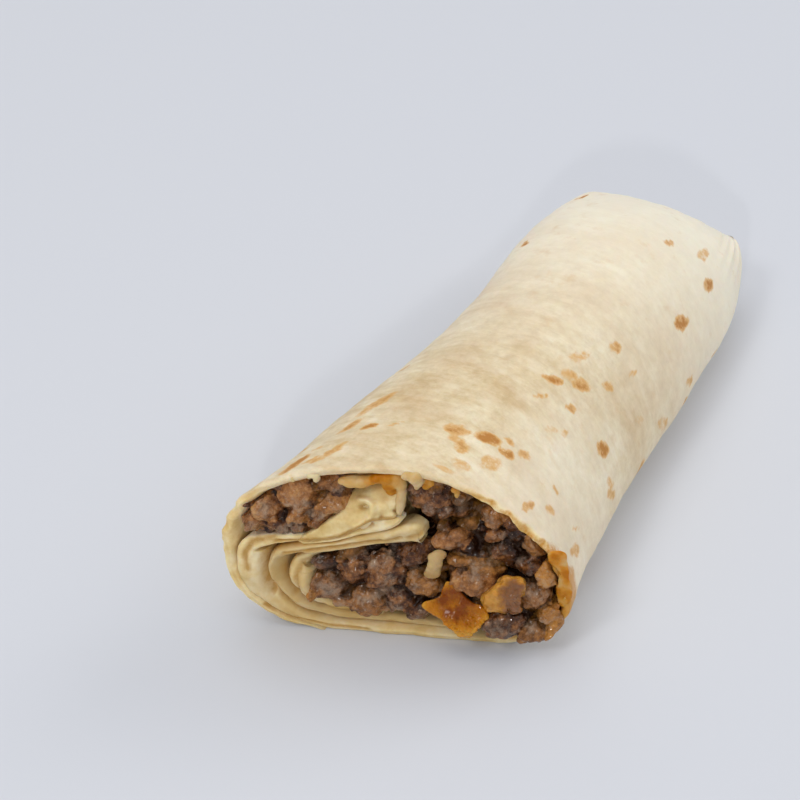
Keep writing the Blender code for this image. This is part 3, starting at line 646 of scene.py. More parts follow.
def toasted(rolled, behind, spots):
    """Toast from 0 to 1 at places on the flat tortilla, full in each spot and soft at its rim."""
    flat = np.column_stack((rolled, behind, np.zeros(len(rolled))))
    rolled = rolled + 0.9 * waves(flat, 2.4, shift=51.0)
    behind = behind + 0.9 * waves(flat, 2.4, shift=85.0)
    toast = np.zeros(len(rolled))
    for round_roll, behind_cut, half_length, half_width, turn, strength in spots:
        angle = math.radians(turn)
        along, aside = rolled - round_roll, behind - behind_cut
        run = (along * math.cos(angle) + aside * math.sin(angle)) / half_length
        off = (aside * math.cos(angle) - along * math.sin(angle)) / half_width
        share = np.clip(1.75 - np.hypot(run, off), 0.0, 1.0)
        toast = np.maximum(toast, strength * share * share * (3 - 2 * share))
    return toast


def spread_out(section, share):
    """Move points away from the middle of the roll by a share of their distance from it."""
    section[:, :2] += (section[:, :2] - MIDDLE_OF_ROLL) * share[:, None]


wrap = rolled_sheet("tortilla_wrap", outer_turn() + list(INNER_TURN), DOUGH, steps_along=322,
                    steps_across=236, outer_share=0.7, rounding=CUT_ROUNDING, tip_rounding=1.2)
weld(wrap, 0.01)
section = read(wrap.data, "co")
section[:, 2] = np.minimum(section[:, 2] * LENGTH / (LENGTH + CUT_ROUNDING), LENGTH)
to_end = fade(section[:, 2], LENGTH, LENGTH - END_ROWS)
section[:, 2] -= END_ROWS * (to_end ** 1.6 - to_end)
behind = section[:, 2]
edge_face = read_values(wrap.data, "edge_face")
rolled = read_values(wrap.data, "rolled_length")
inner_side = read_values(wrap.data, "inner_side")
near_cut = fade(behind, EDGE_DEPTH, 0.0)

# Colours that follow the sheet: the yellower cut and inner side, toast, grease and painted light
cut_share = between(CUT_SHARE, rolled)
yellowed = 0.24 * fade(rolled, 48.0, 40.0) * fade(behind, 16.0, 8.0)
yellowed = np.maximum(yellowed, edge_face * near_cut * cut_share)
yellowed = np.maximum(yellowed, inner_side * (1.0 - 0.8 * near_cut * (1.0 - cut_share)))
toast = toasted(rolled, behind, all_spots())
along_roof = between(ROOF_GREASE, rolled) * fade(behind, 7.0, 0.0) * inner_side ** 3
stained = between(WALL_STAIN, rolled)
stain_reach = 1.0 + 2.6 * stained * (1.0 + 0.9 * waves(section, 4.0, (1, 1, 20), 15.0))
on_wall = between(WALL_GREASE, rolled) * np.clip(1.35 - behind / stain_reach, 0.0, 1.0)
on_wall *= np.clip(0.15 + edge_face + stained * (1.0 + 0.5 * waves(section, 1.6, shift=27.0)), 0.0, 1.0)
# Painted light: the sheet gets paler towards the far end and on the right near the cut
painted_light_right = 0.55 * fade(rolled, 86.0, 100.0) * fade(behind, 60.0, 20.0)
write_values(wrap.data, cut_face=yellowed, toast=toast, grease=np.maximum(along_roof, on_wall),
             pale=np.maximum(fade(behind, 35.0, 110.0), painted_light_right))

# Grooves and ridges in the cut edge and a line along the inner turn's inner side, with painted shade
inner_rim = np.exp(-((1.0 - inner_side) / 0.12) ** 2)
inner_rim *= fade(rolled, 178.0, 183.0) * fade(rolled, 212.0, 206.0)
carved = np.maximum(carve(section, WRAP_CREASES), RIDGE_SHADE * ridged(section, wrap, 1.3))
# Painted shade where the cut lies back, low down and under the inner turn; painted light up to the lip
hollow = hollow_of(section, cell_size=0.8, spread=2, full_depth=1.6) + 0.36 * fade(rolled, 176.0, 186.0)
hollow += 0.4 * fade(section[:, 1], 8.0, 0.0) - 0.42 * fade(rolled, 198.0, 206.0)
write_values(wrap.data, crease=np.maximum(carved, 0.8 * inner_rim),
             hollow=np.clip(hollow, 0.0, 1.0) * fade(behind, 8.0, 5.0))

# Ripples of the body, the ragged edge and the gathers of the closed end
swell = rippled(section, BODY_RIPPLES) * fade(section[:, 1], 0.0, 7.0)
spread_out(section, swell * np.clip(behind / 6.0, 0.25, 1.0))
ragged_edge = between(EDGE_RAGGED, rolled)
tears = 1.1 * np.abs(waves(section, 3.2, (1, 1, 50), 5.0)) + 0.3 * waves(section, 0.9, (1, 1, 50))
section[:, 2] += near_cut * (rippled(section, EDGE_RIPPLES) + ragged_edge * tears)
spread_out(section, near_cut * ragged_edge * (0.03 * waves(section, 3.6, (1, 1, 9), 61.0) - 0.008))
spread_out(section, fade(behind, LENGTH - 26.0, LENGTH - 4.0) ** 2 * rippled(section, END_GATHERS))
placed = carried(section)
at_end = fade(behind, LENGTH - 9.0, LENGTH) ** 2
placed[:, 2] += at_end * 0.9 * MM * waves(placed[:, :1] * [1 / MM, 0.0, 0.0], 7.0, shift=2.0)
write_points(wrap.data, placed)
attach(wrap, "root")
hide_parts("tortilla")


# Folded-in layers: two more thicknesses of the same tortilla inside the left side. The
# flap runs from under the filling round the left and ends in the tongue; the inmost
# layer lies against the filling. Both end deep inside, out of sight.
FLAP = (
    # u, v, wall, recess, reach
    (9.0, 2.25, 1.2, 1.2, ROLL_SHORT), (3.0, 2.25, 2.2, 0.9, ROLL_SHORT), (-5.0, 2.3, 2.3, 0.7, ROLL_SHORT),
    (-12.0, 2.9, 2.0, 0.6, ROLL_SHORT), (-17.6, 4.3, 1.9, 0.5, ROLL_SHORT),
    (-21.3, 6.2, 2.4, 0.6, ROLL_SHORT), (-24.3, 9.4, 2.9, 0.7, ROLL_SHORT),
    (-25.6, 12.6, 3.0, 0.6, ROLL_SHORT), (-25.9, 16.4, 3.1, 0.5, ROLL_SHORT),
    (-24.6, 19.3, 2.6, 0.4, ROLL_SHORT), (-20.6, 20.8, 2.4, 0.3, ROLL_SHORT),
    (-14.5, 22.2, 2.5, 0.3, ROLL_SHORT), (-9.0, 24.0, 2.6, 0.5, ROLL_SHORT), (-4.6, 25.8, 3.1, 0.6, 20.0),
    (-1.8, 27.1, 3.9, 0.6, 6.0), (0.6, 28.4, 4.7, 0.4, 4.0), (2.8, 29.2, 5.3, 0.4, 2.2),
    (4.7, 29.0, 5.3, 0.7, 1.6),
)
INMOST_LAYER = (
    (-3.5, 4.55, 0.8, 0.8, ROLL_SHORT), (-9.0, 4.7, 1.6, 0.5, ROLL_SHORT),
    (-14.0, 5.3, 2.6, 0.2, ROLL_SHORT), (-18.8, 7.9, 3.6, 0.2, ROLL_SHORT),
    (-21.2, 10.8, 4.6, 0.3, ROLL_SHORT), (-22.2, 14.2, 5.0, 0.7, ROLL_SHORT),
    (-21.0, 17.4, 3.9, 1.4, ROLL_SHORT), (-17.4, 18.6, 2.0, 2.4, ROLL_SHORT),
    (-13.4, 18.9, 0.9, 3.6, ROLL_SHORT),
)
# Grooves, as in the wrap: half width, depth and line. The first parts the two layers.
INNER_PARTING = (0.5, 1.2, ((-20.4, 8.4), (-22.2, 11.4), (-22.9, 15.0), (-21.8, 18.0), (-18.6, 18.9)))
FLAP_CREASES = (
    OUTER_PARTING,
    INNER_PARTING,
    (0.4, 0.8, ((-22.0, 19.2), (-16.0, 20.4), (-10.0, 22.2), (-5.0, 23.6), (0.0, 25.4))),
    (0.5, -0.5, ((-24.3, 12.0), (-24.6, 16.0), (-23.4, 18.9), (-18.0, 20.0))),
    (0.6, 0.6, ((1.5, 25.4), (3.4, 26.4), (4.4, 28.0))),
    (1.1, -1.0, ((-2.6, 25.6), (0.6, 27.4), (3.0, 28.8))),
    (0.5, 0.5, ((-16.0, 3.6), (-8.0, 2.5), (2.0, 2.4))),
)
INMOST_CREASES = (
    INNER_PARTING,
    (0.5, 0.8, ((-19.6, 9.6), (-20.0, 13.0), (-19.2, 16.2), (-16.4, 17.6))),
    (0.8, -0.8, ((-17.0, 8.6), (-18.0, 11.6), (-17.4, 15.0))),
    (0.4, 0.6, ((-17.0, 6.6), (-12.0, 5.4), (-6.0, 5.0))),
)


def finish_dough(made, raggedness, waviness, shift, creases, shade):
    """Roughen the cut edge, carry the sheet into the burrito and give it its attributes."""
    weld(made, 0.01)
    section = read(made.data, "co")
    inner_side = read_values(made.data, "inner_side")
    # Painted shade lines along the layers' outer rim and in their grooves
    outer_rim = np.exp(-(inner_side / 0.14) ** 2) * fade(section[:, 0], -4.0, -12.0)
    carved = np.maximum(carve(section, creases), RIDGE_SHADE * ridged(section, made, 1.5))
    near_cut = fade(section[:, 2], CARVED_DEPTH, 0.0)
    tears = raggedness * rippled(section, ((1.0, 4.5, (1, 1, 50), shift), (0.3, 1.3, (1, 1, 50), shift)))
    section[:, 2] = np.minimum(section[:, 2] + near_cut * tears, LENGTH)
    section[:, 0] += waviness * waves(section, 6.0, (1, 1, 1.5), shift + 7.0) * near_cut
    section[:, 1] += waviness * waves(section, 5.0, (1, 1, 1.5), shift + 3.0) * near_cut
    faces_out = read_values(made.data, "edge_face") * np.clip(near_cut * 3, 0, 1)
    # Painted shade on the inner side, low down and where the face lies back; painted light on the tongue's
    # top
    shut_in = shade + 0.45 * (inner_side - 0.4) + 0.2 * fade(section[:, 1], 22.0, 16.0)
    shut_in -= 0.25 * fade(section[:, 0], -2.0, 2.0) * (section[:, 1] > 22.0)
    shut_in += hollow_of(section, cell_size=0.8, spread=2, full_depth=1.4)
    write_values(made.data, crease=np.maximum(carved, 0.9 * outer_rim), cut_face=np.maximum(faces_out, 0.4),
                 hollow=np.clip(shut_in, 0.0, 1.0))
    write_points(made.data, carried(section))
    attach(made, "root")
    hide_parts("tortilla")


flap = rolled_sheet("folded_flap", FLAP, DOUGH, steps_along=200, steps_across=160, outer_share=0.5,
                    rounding=1.1, tip_rounding=2.0)
inmost = rolled_sheet("inmost_layer", INMOST_LAYER, DOUGH, steps_along=120, steps_across=140, outer_share=0.5,
                      rounding=1.4, tip_rounding=1.2)
finish_dough(flap, raggedness=0.55, waviness=0.3, shift=20.0, creases=FLAP_CREASES, shade=0.48)
finish_dough(inmost, raggedness=0.6, waviness=0.35, shift=40.0, creases=INMOST_CREASES, shade=0.2)


# Gathered fold: behind the lip the inner turn swells up and back to the roof as one soft
# surface, with a dimple, a ridge that curls round it, and creases at its foot.
SEEN_RIGHT = 0.489
SEEN_UP = 0.784
FOLD_LEFT, FOLD_RIGHT = -20.0, 3.0
FOLD_LOW, FOLD_HIGH = 21.5, 42.0
FOLD_STEP = 0.2
FOLD_THICKNESS = 2.0
FOLD_RISE = 9.5
FOLD_BACK = 9.5
FOLD_FOOT = ((-20.0, 22.7), (-14.1, 23.8), (-11.2, 24.8), (-7.8, 27.3), (-5.4, 29.2), (-3.4, 29.9),
             (-1.4, 30.3), (3.0, 30.8))
FOLD_LEFT_EDGE = ((21.0, -19.0), (24.0, -18.0), (26.5, -15.4), (29.1, -13.0), (32.0, -11.0), (34.9, -11.7),
                  (42.0, -12.0))
FOLD_RIGHT_EDGE = ((24.0, 0.0), (32.0, -0.5), (34.9, -0.1), (42.0, 0.7))
FOLD_DENTS = (
    # shows at a, b, half width, half height, depth
    (-6.5, 32.9, 0.95, 0.8, 1.4), (-7.9, 31.9, 1.4, 0.9, 0.4), (-3.0, 33.2, 1.4, 1.6, -0.9),
    (-0.8, 32.6, 0.3, 0.45, 0.9), (-2.2, 36.0, 1.6, 1.2, 0.5), (-3.2, 30.6, 0.35, 0.8, 0.8),
    (-10.0, 28.6, 2.6, 1.1, -0.5), (-1.4, 31.3, 0.9, 0.5, -0.4),
)
RIDGE = ((-7.2, 34.6), (-6.0, 34.5), (-5.1, 33.5), (-4.9, 32.1), (-5.3, 30.4), (-6.3, 28.9), (-8.0, 27.7))
RIDGE_HEIGHT = 1.15
RIDGE_WIDTH = 0.85
# Spots of painted shade on the fold
FOLD_SHADES = (
    # shows at a, b, half width, half height, strength
    (-3.2, 30.6, 0.4, 0.8, 0.8), (-0.8, 32.6, 0.3, 0.4, 0.8), (-6.4, 33.0, 0.7, 0.6, 0.45),
)


def seen_at(a, b, depth):
    """Section points that lie behind the cut but show at (a, b) on it from the front right."""
    return np.column_stack((a - SEEN_RIGHT * depth, b - SEEN_UP * depth, depth))


def soft_spots(a, b, spots):
    """Sum of soft round spots, each with its own size and strength."""
    return sum(strength * np.exp(-((a - at_a) / wide) ** 2 - ((b - at_b) / high) ** 2)
               for at_a, at_b, wide, high, strength in spots)


def fold_depth(a, b, foot):
    """How far behind the cut the gathered fold lies where it shows at (a, b)."""
    rise = np.clip((b - foot) / FOLD_RISE, 0.0, 1.2)
    ridge_share = np.exp(-(distance_to_line(np.column_stack((a, b)), RIDGE) / RIDGE_WIDTH) ** 2)
    depth = -0.5 + 3.4 * rise ** 2.4 - RIDGE_HEIGHT * ridge_share + soft_spots(a, b, FOLD_DENTS)
    past_left = np.clip(between(FOLD_LEFT_EDGE, b) + 0.7 - a, 0.0, None)
    past_right = np.clip(a - between(FOLD_RIGHT_EDGE, b) + 0.6, 0.0, None)
    past_foot = np.clip(foot + 0.45 - b, 0.0, None)
    depth += 0.8 * past_left ** 2 + 2.0 * past_right ** 2 + 4.0 * past_foot ** 2
    return np.minimum(depth, FOLD_BACK)


def finish_with(made, kind, **settings):
    """Add a modifier of one kind with its settings."""
    modifier = made.modifiers.new(kind.lower(), kind)
    for name, value in settings.items():
        setattr(modifier, name, value)


columns = int((FOLD_RIGHT - FOLD_LEFT) / FOLD_STEP) + 1
rows = int((FOLD_HIGH - FOLD_LOW) / FOLD_STEP) + 1
a, b = np.meshgrid(np.linspace(FOLD_LEFT, FOLD_RIGHT, columns), np.linspace(FOLD_LOW, FOLD_HIGH, rows))
a, b = a.ravel(), b.ravel()
foot = between(FOLD_FOOT, a)
section = seen_at(a, b, fold_depth(a, b, foot))
section[:, 2] += 0.12 * waves(section, 2.2, shift=5.0)
faces = [(r * columns + c, r * columns + c + 1, (r + 1) * columns + c + 1, (r + 1) * columns + c)
         for r in range(rows - 1) for c in range(columns - 1)]
fold = new_piece("gathered_fold", carried(section).tolist(), faces=faces, look=DOUGH)
finish_with(fold, "SOLIDIFY", thickness=FOLD_THICKNESS * MM, offset=-1.0)
fold = plain_mesh(fold)
# Painted shade at the fold's foot, in its dents, in a band high on its right, up under the roof and in
# recesses
shades = np.exp(-((b - foot - 0.3) / 0.5) ** 2) + soft_spots(a, b, FOLD_SHADES)
shades += 0.4 * np.exp(-((a + 0.9) / 0.6) ** 2) * fade(b, 33.4, 35.4) + 0.5 * fade(b - foot, 5.0, 9.5)
hollow = hollow_of(np.vstack((section, section)), cell_size=0.8, spread=3, full_depth=1.6)
write_values(fold.data, cut_face=0.45, hollow=0.45 * hollow,
             crease=np.concatenate((shades, np.zeros(len(fold.data.vertices) - len(a)))))
fold.data.shade_smooth()
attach(fold, "root")
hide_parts("tortilla")


# Ground beef: seasoned crumbles packed in both pockets, wet with fat. Each crumble is a
# rough lump with small grains of meat on it; at the cut they are fused into one skin,
# over a plain core that fills the pocket behind.
MAIN_FOLD = (
    (1.6, 40.3), (0.6, 36.5), (0.2, 33.4), (2.4, 31.6), (5.0, 30.9), (6.0, 28.6), (5.6, 25.6), (4.4, 23.9),
    (-0.8, 23.2), (-8.0, 21.9), (-13.2, 19.7), (-17.8, 17.2), (-17.2, 14.4), (-17.6, 11.0), (-16.2, 8.7),
    (-12.0, 7.4), (-8.0, 5.5), (0.0, 4.9), (6.0, 4.1), (12.0, 2.5),
)
UPPER_POCKET = (
    (-30.2, 29.0), (-27.4, 32.9), (-23.2, 36.6), (-19.0, 38.6), (-14.5, 39.4), (-11.0, 39.2), (-10.1, 36.6),
    (-9.8, 32.4), (-11.5, 29.4), (-13.8, 26.6), (-17.5, 24.6), (-24.5, 23.1), (-28.2, 22.1), (-30.5, 24.4),
)
MAIN_CRUMBLES = (
    # u, v, ahead of the cut, half width, half height, tone from dark to pale, glaze
    (-14.4, 16.4, -0.6, 4.2, 2.2, 0.22, 0.0), (-13.8, 11.2, 1.1, 4.0, 3.6, 0.42, 0.1),
    (-16.2, 9.8, 1.4, 1.7, 1.5, 0.5, 0.6), (-9.0, 15.6, 0.5, 3.0, 4.2, 0.45, 0.0),
    (-3.4, 15.6, 1.1, 4.2, 5.0, 0.5, 0.0), (1.8, 20.4, -0.2, 4.4, 2.8, 0.32, 0.0),
    (-6.0, 8.4, 1.6, 4.2, 4.0, 0.52, 0.15), (0.2, 9.4, 1.2, 3.2, 3.0, 0.4, 0.0),
    (4.6, 14.2, 1.5, 3.6, 3.3, 0.5, 0.25), (8.8, 24.4, -0.3, 3.6, 2.6, 0.66, 0.0),
    (11.4, 20.6, 0.7, 3.0, 1.7, 0.5, 0.3), (15.6, 19.6, 1.3, 4.0, 1.9, 0.55, 0.4),
    (14.4, 16.4, 2.3, 5.2, 3.9, 0.62, 0.05), (25.4, 13.4, 1.9, 3.4, 3.5, 0.55, 0.1),
    (28.0, 19.0, 1.8, 2.4, 3.0, 0.72, 0.75), (20.8, 7.2, 4.4, 4.6, 3.7, 0.32, 0.0),
    (28.6, 9.8, 2.8, 2.2, 2.7, 0.62, 0.5), (26.2, 5.8, 3.7, 3.2, 2.9, 0.42, 0.2),
    (30.0, 6.6, 3.4, 1.8, 2.6, 0.7, 0.9), (5.0, 34.4, -0.6, 4.3, 3.9, 0.42, 0.0),
    (1.6, 36.2, -1.6, 1.8, 3.6, 0.34, 0.0), (2.2, 32.8, -2.2, 2.2, 1.5, 0.26, 0.0),
    (5.6, 30.9, -1.8, 2.0, 1.5, 0.28, 0.0), (7.2, 31.4, -1.2, 2.2, 2.2, 0.4, 0.0),
    (9.8, 31.2, -3.2, 2.8, 3.0, 0.34, 0.1), (11.4, 27.6, -3.4, 2.4, 1.7, 0.5, 0.3),
    (16.8, 31.2, -1.2, 2.9, 3.1, 0.6, 0.15), (13.0, 35.6, -4.6, 2.8, 1.6, 0.5, 0.5),
    (14.6, 26.0, -3.6, 2.6, 2.8, 0.12, 0.0), (20.9, 27.0, -1.8, 2.6, 3.0, 0.17, 0.0),
    (25.2, 25.3, -0.4, 2.7, 2.9, 0.6, 0.3), (19.5, 22.0, -0.8, 2.6, 2.6, 0.2, 0.0),
    (24.4, 20.2, 0.2, 3.0, 3.0, 0.28, 0.0), (16.4, 8.8, 1.4, 3.2, 3.0, 0.4, 0.2),
    (9.6, 8.8, 0.8, 4.0, 3.6, 0.4, 0.0), (20.4, 14.0, 0.6, 3.2, 3.6, 0.4, 0.0),
    (3.6, 7.0, 0.9, 3.0, 2.6, 0.36, 0.0), (12.6, 5.2, 1.8, 3.2, 2.5, 0.3, 0.0),
    (-11.0, 7.8, 0.6, 2.4, 1.7, 0.6, 0.3),
)
UPPER_CRUMBLES = (
    (-19.8, 33.2, 0.7, 4.1, 4.8, 0.72, 0.05), (-25.0, 29.9, 1.0, 2.7, 3.4, 0.78, 0.0),
    (-27.8, 26.2, 0.8, 2.4, 3.0, 0.6, 0.0), (-13.0, 32.1, 0.8, 3.3, 2.7, 0.7, 0.25),
    (-13.6, 36.6, -0.4, 2.7, 2.2, 0.55, 0.1), (-19.0, 28.6, 1.0, 2.4, 2.6, 0.75, 0.15),
    (-15.2, 28.6, 0.5, 2.4, 1.9, 0.5, 0.0), (-28.2, 30.2, -0.6, 2.0, 1.8, 0.4, 0.0),
    (-23.2, 35.2, -0.6, 2.6, 2.0, 0.45, 0.0), (-23.4, 25.6, 0.4, 2.6, 1.8, 0.42, 0.0),
    (-19.6, 26.2, 0.5, 2.4, 1.6, 0.4, 0.0), (-15.6, 26.6, 0.4, 2.2, 1.6, 0.45, 0.1),
)
WALL = 2.2
MAIN_DEPTH = 0.82 * LENGTH
UPPER_DEPTH = 0.78 * LENGTH
HEAP_START = 3.2
HEAP_LEAN = 0.13
CRUMBLE_ROOT = 1.5
FRONT_BACK = 9.0
CORE_FRONT = 6.5
BEEF_VOXEL = 0.3
OVERHANG = 2.6
CLEFT_FILL = ((-9.0, 0.6), (0.0, 0.55), (6.0, 0.3), (26.0, 0.3))
ROOF_WALL_FROM = 6.0
FLOOR_WALL_FROM = 16.0


def rounded(points, closed, per_span):
    """Smooth curve through the points, with per_span points from each to the next."""
    count = len(points)
    curve = []
    for i in range(count if closed else count - 1):
        if closed:
            four = [points[(i + k) % count] for k in (-1, 0, 1, 2)]
        else:
            four = [points[min(max(i + k, 0), count - 1)] for k in (-1, 0, 1, 2)]
        for step in range(per_span):
            s = step / per_span
            weights = ((-s + 2 * s ** 2 - s ** 3) / 2, (2 - 5 * s ** 2 + 3 * s ** 3) / 2,
                       (s + 4 * s ** 2 - 3 * s ** 3) / 2, (-s ** 2 + s ** 3) / 2)
            curve.append(tuple(sum(w * p[axis] for w, p in zip(weights, four)) for axis in (0, 1)))
    return curve if closed else curve + [points[-1]]


def moved_out(outline, distance):
    """The closed outline with every point moved out along its normal, in if negative."""
    points = np.array(outline)
    after, before = np.roll(points, -1, axis=0), np.roll(points, 1, axis=0)
    area = np.sum(points[:, 0] * after[:, 1] - after[:, 0] * points[:, 1])
    run = (after - before) / np.linalg.norm(after - before, axis=1)[:, None]
    side = distance * math.copysign(1.0, area)
    return [tuple(point) for point in points + np.column_stack((run[:, 1], -run[:, 0])) * side]


def main_pocket():
    """Outline of the main pocket: the fold on the left, the outer wall on the right."""
    steps = 12
    around = quarter(UPPER_RIGHT, 0, 90, steps)[:-1] + quarter(UPPER_LEFT, 90, 180, steps)[:-1]
    around += quarter(LOWER_LEFT, 180, 270, steps)[:-1] + [(LOWER_LEFT[0], 0.0)]
    around += quarter(LOWER_RIGHT, 270, 360, steps)[:-1]
    walls = moved_out(around, -WALL)
    floor = [point for point in walls[-steps:] if point[0] > FLOOR_WALL_FROM]
    roof = [point for point in walls[:steps] if point[0] > ROOF_WALL_FROM]
    return rounded(MAIN_FOLD, False, 2) + floor + roof


def inside(outline, points):
    """Whether each point lies within the closed outline."""
    u, v = points[:, 0], points[:, 1]
    crossed = np.zeros(len(points), dtype=bool)
    for a, b in zip(outline, outline[1:] + outline[:1]):
        if a[1] != b[1]:
            between_ends = (a[1] > v) != (b[1] > v)
            crossed ^= between_ends & (u < a[0] + (v - a[1]) / (b[1] - a[1]) * (b[0] - a[0]))
    return crossed


def pressed_in(points, outline):
    """Points of the cut face, with those outside the closed outline moved onto it."""
    moved = points.copy()
    outside = np.flatnonzero(~inside(outline, points))
    best = np.full(len(outside), np.inf)
    for a, b in zip(outline, outline[1:] + outline[:1]):
        a, run = np.array(a), np.array(b) - np.array(a)
        share = np.clip((points[outside] - a) @ run / max(run @ run, 1e-9), 0.0, 1.0)
        onto = a + share[:, None] * run
        away = np.linalg.norm(points[outside] - onto, axis=1)
        nearer = away < best
        best[nearer] = away[nearer]
        moved[outside[nearer]] = onto[nearer]
    return moved


def crumbles_tree():
    """Tree that puts a rough lump on each point and small grains of meat on the lumps."""
    group, given = new_tree("crumbles", {
        "Core": "Object", "Unevenness": "Float", "Wave Scale": "Float", "Grain Size": "Float",
        "Grain Density": "Float", "Seed": "Int", "Material": "Material"})
    maths = arithmetic(group)

    def uneven(geometry, scale, amount):
        noise_field = add(group, "ShaderNodeTexNoise", {"Scale": scale, "Detail": 2.0}).outputs["Fac"]
        swell = maths("MULTIPLY", maths("SUBTRACT", noise_field, 0.5), amount)
        normal = add(group, "GeometryNodeInputNormal").outputs[0]
        offset = add(group, "ShaderNodeVectorMath", {0: normal, "Scale": swell}, operation="SCALE").outputs[0]
        return add(group, "GeometryNodeSetPosition", {"Geometry": geometry, "Offset": offset}).outputs[0]

    lump = add(group, "GeometryNodeMeshIcoSphere", {"Radius": 1.0, "Subdivisions": 4}).outputs["Mesh"]
    size, turn = [add(group, "GeometryNodeInputNamedAttribute", {"Name": name},
                      data_type="FLOAT_VECTOR").outputs[0] for name in ("size", "turn")]
    lumps = add(group, "GeometryNodeInstanceOnPoints", {
        "Points": given["Geometry"], "Instance": lump, "Scale": size, "Rotation": turn}).outputs[0]
    lumps = add(group, "GeometryNodeRealizeInstances", {"Geometry": lumps}).outputs[0]
    lumps = uneven(lumps, given["Wave Scale"], given["Unevenness"])
    spots = add(group, "GeometryNodeDistributePointsOnFaces", {
        "Mesh": lumps, "Density": given["Grain Density"], "Seed": given["Seed"]}).outputs["Points"]
    grain = add(group, "GeometryNodeMeshIcoSphere", {"Radius": 1.0, "Subdivisions": 2}).outputs["Mesh"]
    grain_size = add(group, "FunctionNodeRandomValue", {
        2: 0.35, 3: 1.0, "Seed": given["Seed"]}, data_type="FLOAT").outputs[1]
    grain_size = maths("MULTIPLY", grain_size, given["Grain Size"])
    grains = add(group, "GeometryNodeInstanceOnPoints", {
        "Points": spots, "Instance": grain, "Scale": grain_size}).outputs[0]
    core = add(group, "GeometryNodeObjectInfo", {"Object": given["Core"]}).outputs["Geometry"]
    joined = add(group, "GeometryNodeJoinGeometry")
    for part in (lumps, grains, core):
        group.links.new(part, joined.inputs[0])
    return finish_tree(group, joined.outputs[0], given["Material"])


def loft(name, rings, look):
    """Closed mesh object through rings of points, with a fan to the middle of each end."""
    count = len(rings[0])
    points = [tuple(point) for ring in rings for point in ring]
    faces = []
    for r in range(len(rings) - 1):
        for i in range(count):
            j = (i + 1) % count
            faces.append((r * count + i, r * count + j, (r + 1) * count + j, (r + 1) * count + i))
    for r in (0, len(rings) - 1):
        middle = len(points)
        points.append(tuple(np.mean(rings[r], axis=0)))
        faces += [(middle, r * count + i, r * count + (i + 1) % count) for i in range(count)]
    made = new_piece(name, points, faces=faces, look=look)
    weld(made, 1e-7)
    return made


def section_ring(outline, depth, shrink=1.0):
    """The outline at one depth, drawn towards its middle, as section points."""
    points = np.array(outline)
    points = points.mean(axis=0) + (points - points.mean(axis=0)) * shrink
    return np.column_stack((points, np.broadcast_to(depth, len(points))))


def heap_start(v):
    """How far behind the cut the bare heap begins."""
    return HEAP_START + HEAP_LEAN * v


def beef_material():
    """Browned ground beef: uneven brown and wet, paler under grease and painted sheen, with painted glints
    and shade.
    """
    made, tree = new_material("ground_beef")
    maths = arithmetic(tree)
    speckle, stored, ramped, mixed = painting(tree)[:4]

    def share(value, low, high, start=0.0, stop=1.0):
        return add(tree, "ShaderNodeMapRange", {"Value": value, "From Min": low, "From Max": high,
                                                "To Min": start, "To Max": stop}).outputs[0]

    tone = stored("tone")
    hollow = stored("hollow")
    # One away from the painted shade: the grease film, painted glints and coat show only out of the clefts
    in_front = maths("SUBTRACT", 1.0, hollow)
    mottled = maths("MULTIPLY", maths("SUBTRACT", speckle(560.0, 5.0, 0.7), 0.5), 1.8)
    # Painted shade: darker where a point lies behind its neighbours
    browned = ramped(maths("SUBTRACT", maths("ADD", tone, mottled), maths("MULTIPLY", hollow, 0.85)),
                     (0.0, (0.02, 0.006, 0.002)), (0.3, (0.09, 0.03, 0.009)), (0.5, (0.215, 0.083, 0.024)),
                     (0.75, (0.39, 0.165, 0.052)), (1.0, (0.56, 0.30, 0.115)))
    glaze = maths("MULTIPLY", stored("glaze"), maths("ADD", 0.7, maths("MULTIPLY", mottled, 1.2)))
    stained = mixed(glaze, browned, (0.52, 0.225, 0.03))
    coated = maths("MULTIPLY", maths("MINIMUM", maths("MULTIPLY", tone, 2.2), 1.0), 0.66)
    # A pale film of fat, partly a painted sheen
    fat_and_sheen = maths("MULTIPLY", share(speckle(230.0, 6.0, 0.72), 0.5, 0.66), maths("MULTIPLY", in_front, coated))
    # Painted glints: tiny pale flecks standing in for highlights
    painted_glints = share(speckle(1300.0, 3.0, 0.55), 0.62, 0.74)
    painted_glints = maths("MULTIPLY", painted_glints, maths("MULTIPLY", in_front, 0.8))
    relief = maths("ADD", maths("MULTIPLY", speckle(2600.0, 2.0, 0.55), 0.35), speckle(950.0, 4.0, 0.6))
    surfaced(tree, {
        "Base Color": mixed(maths("MAXIMUM", fat_and_sheen, painted_glints), stained, (0.45, 0.33, 0.225)),
        "Roughness": share(speckle(260.0, 2.0, 0.55), 0.35, 0.7, 0.45, 0.2), "Specular IOR Level": 0.05,
        "Subsurface Weight": 0.08, "Subsurface Radius": (1.0, 0.35, 0.2), "Subsurface Scale": 0.001,
        "Coat Weight": maths("MULTIPLY", in_front, 0.72), "Coat Roughness": 0.08, "Coat IOR": 1.42,
    }, relief, strength=0.8, distance=0.0006)
    return made


CRUMBLES_TREE = crumbles_tree()
BEEF = beef_material()


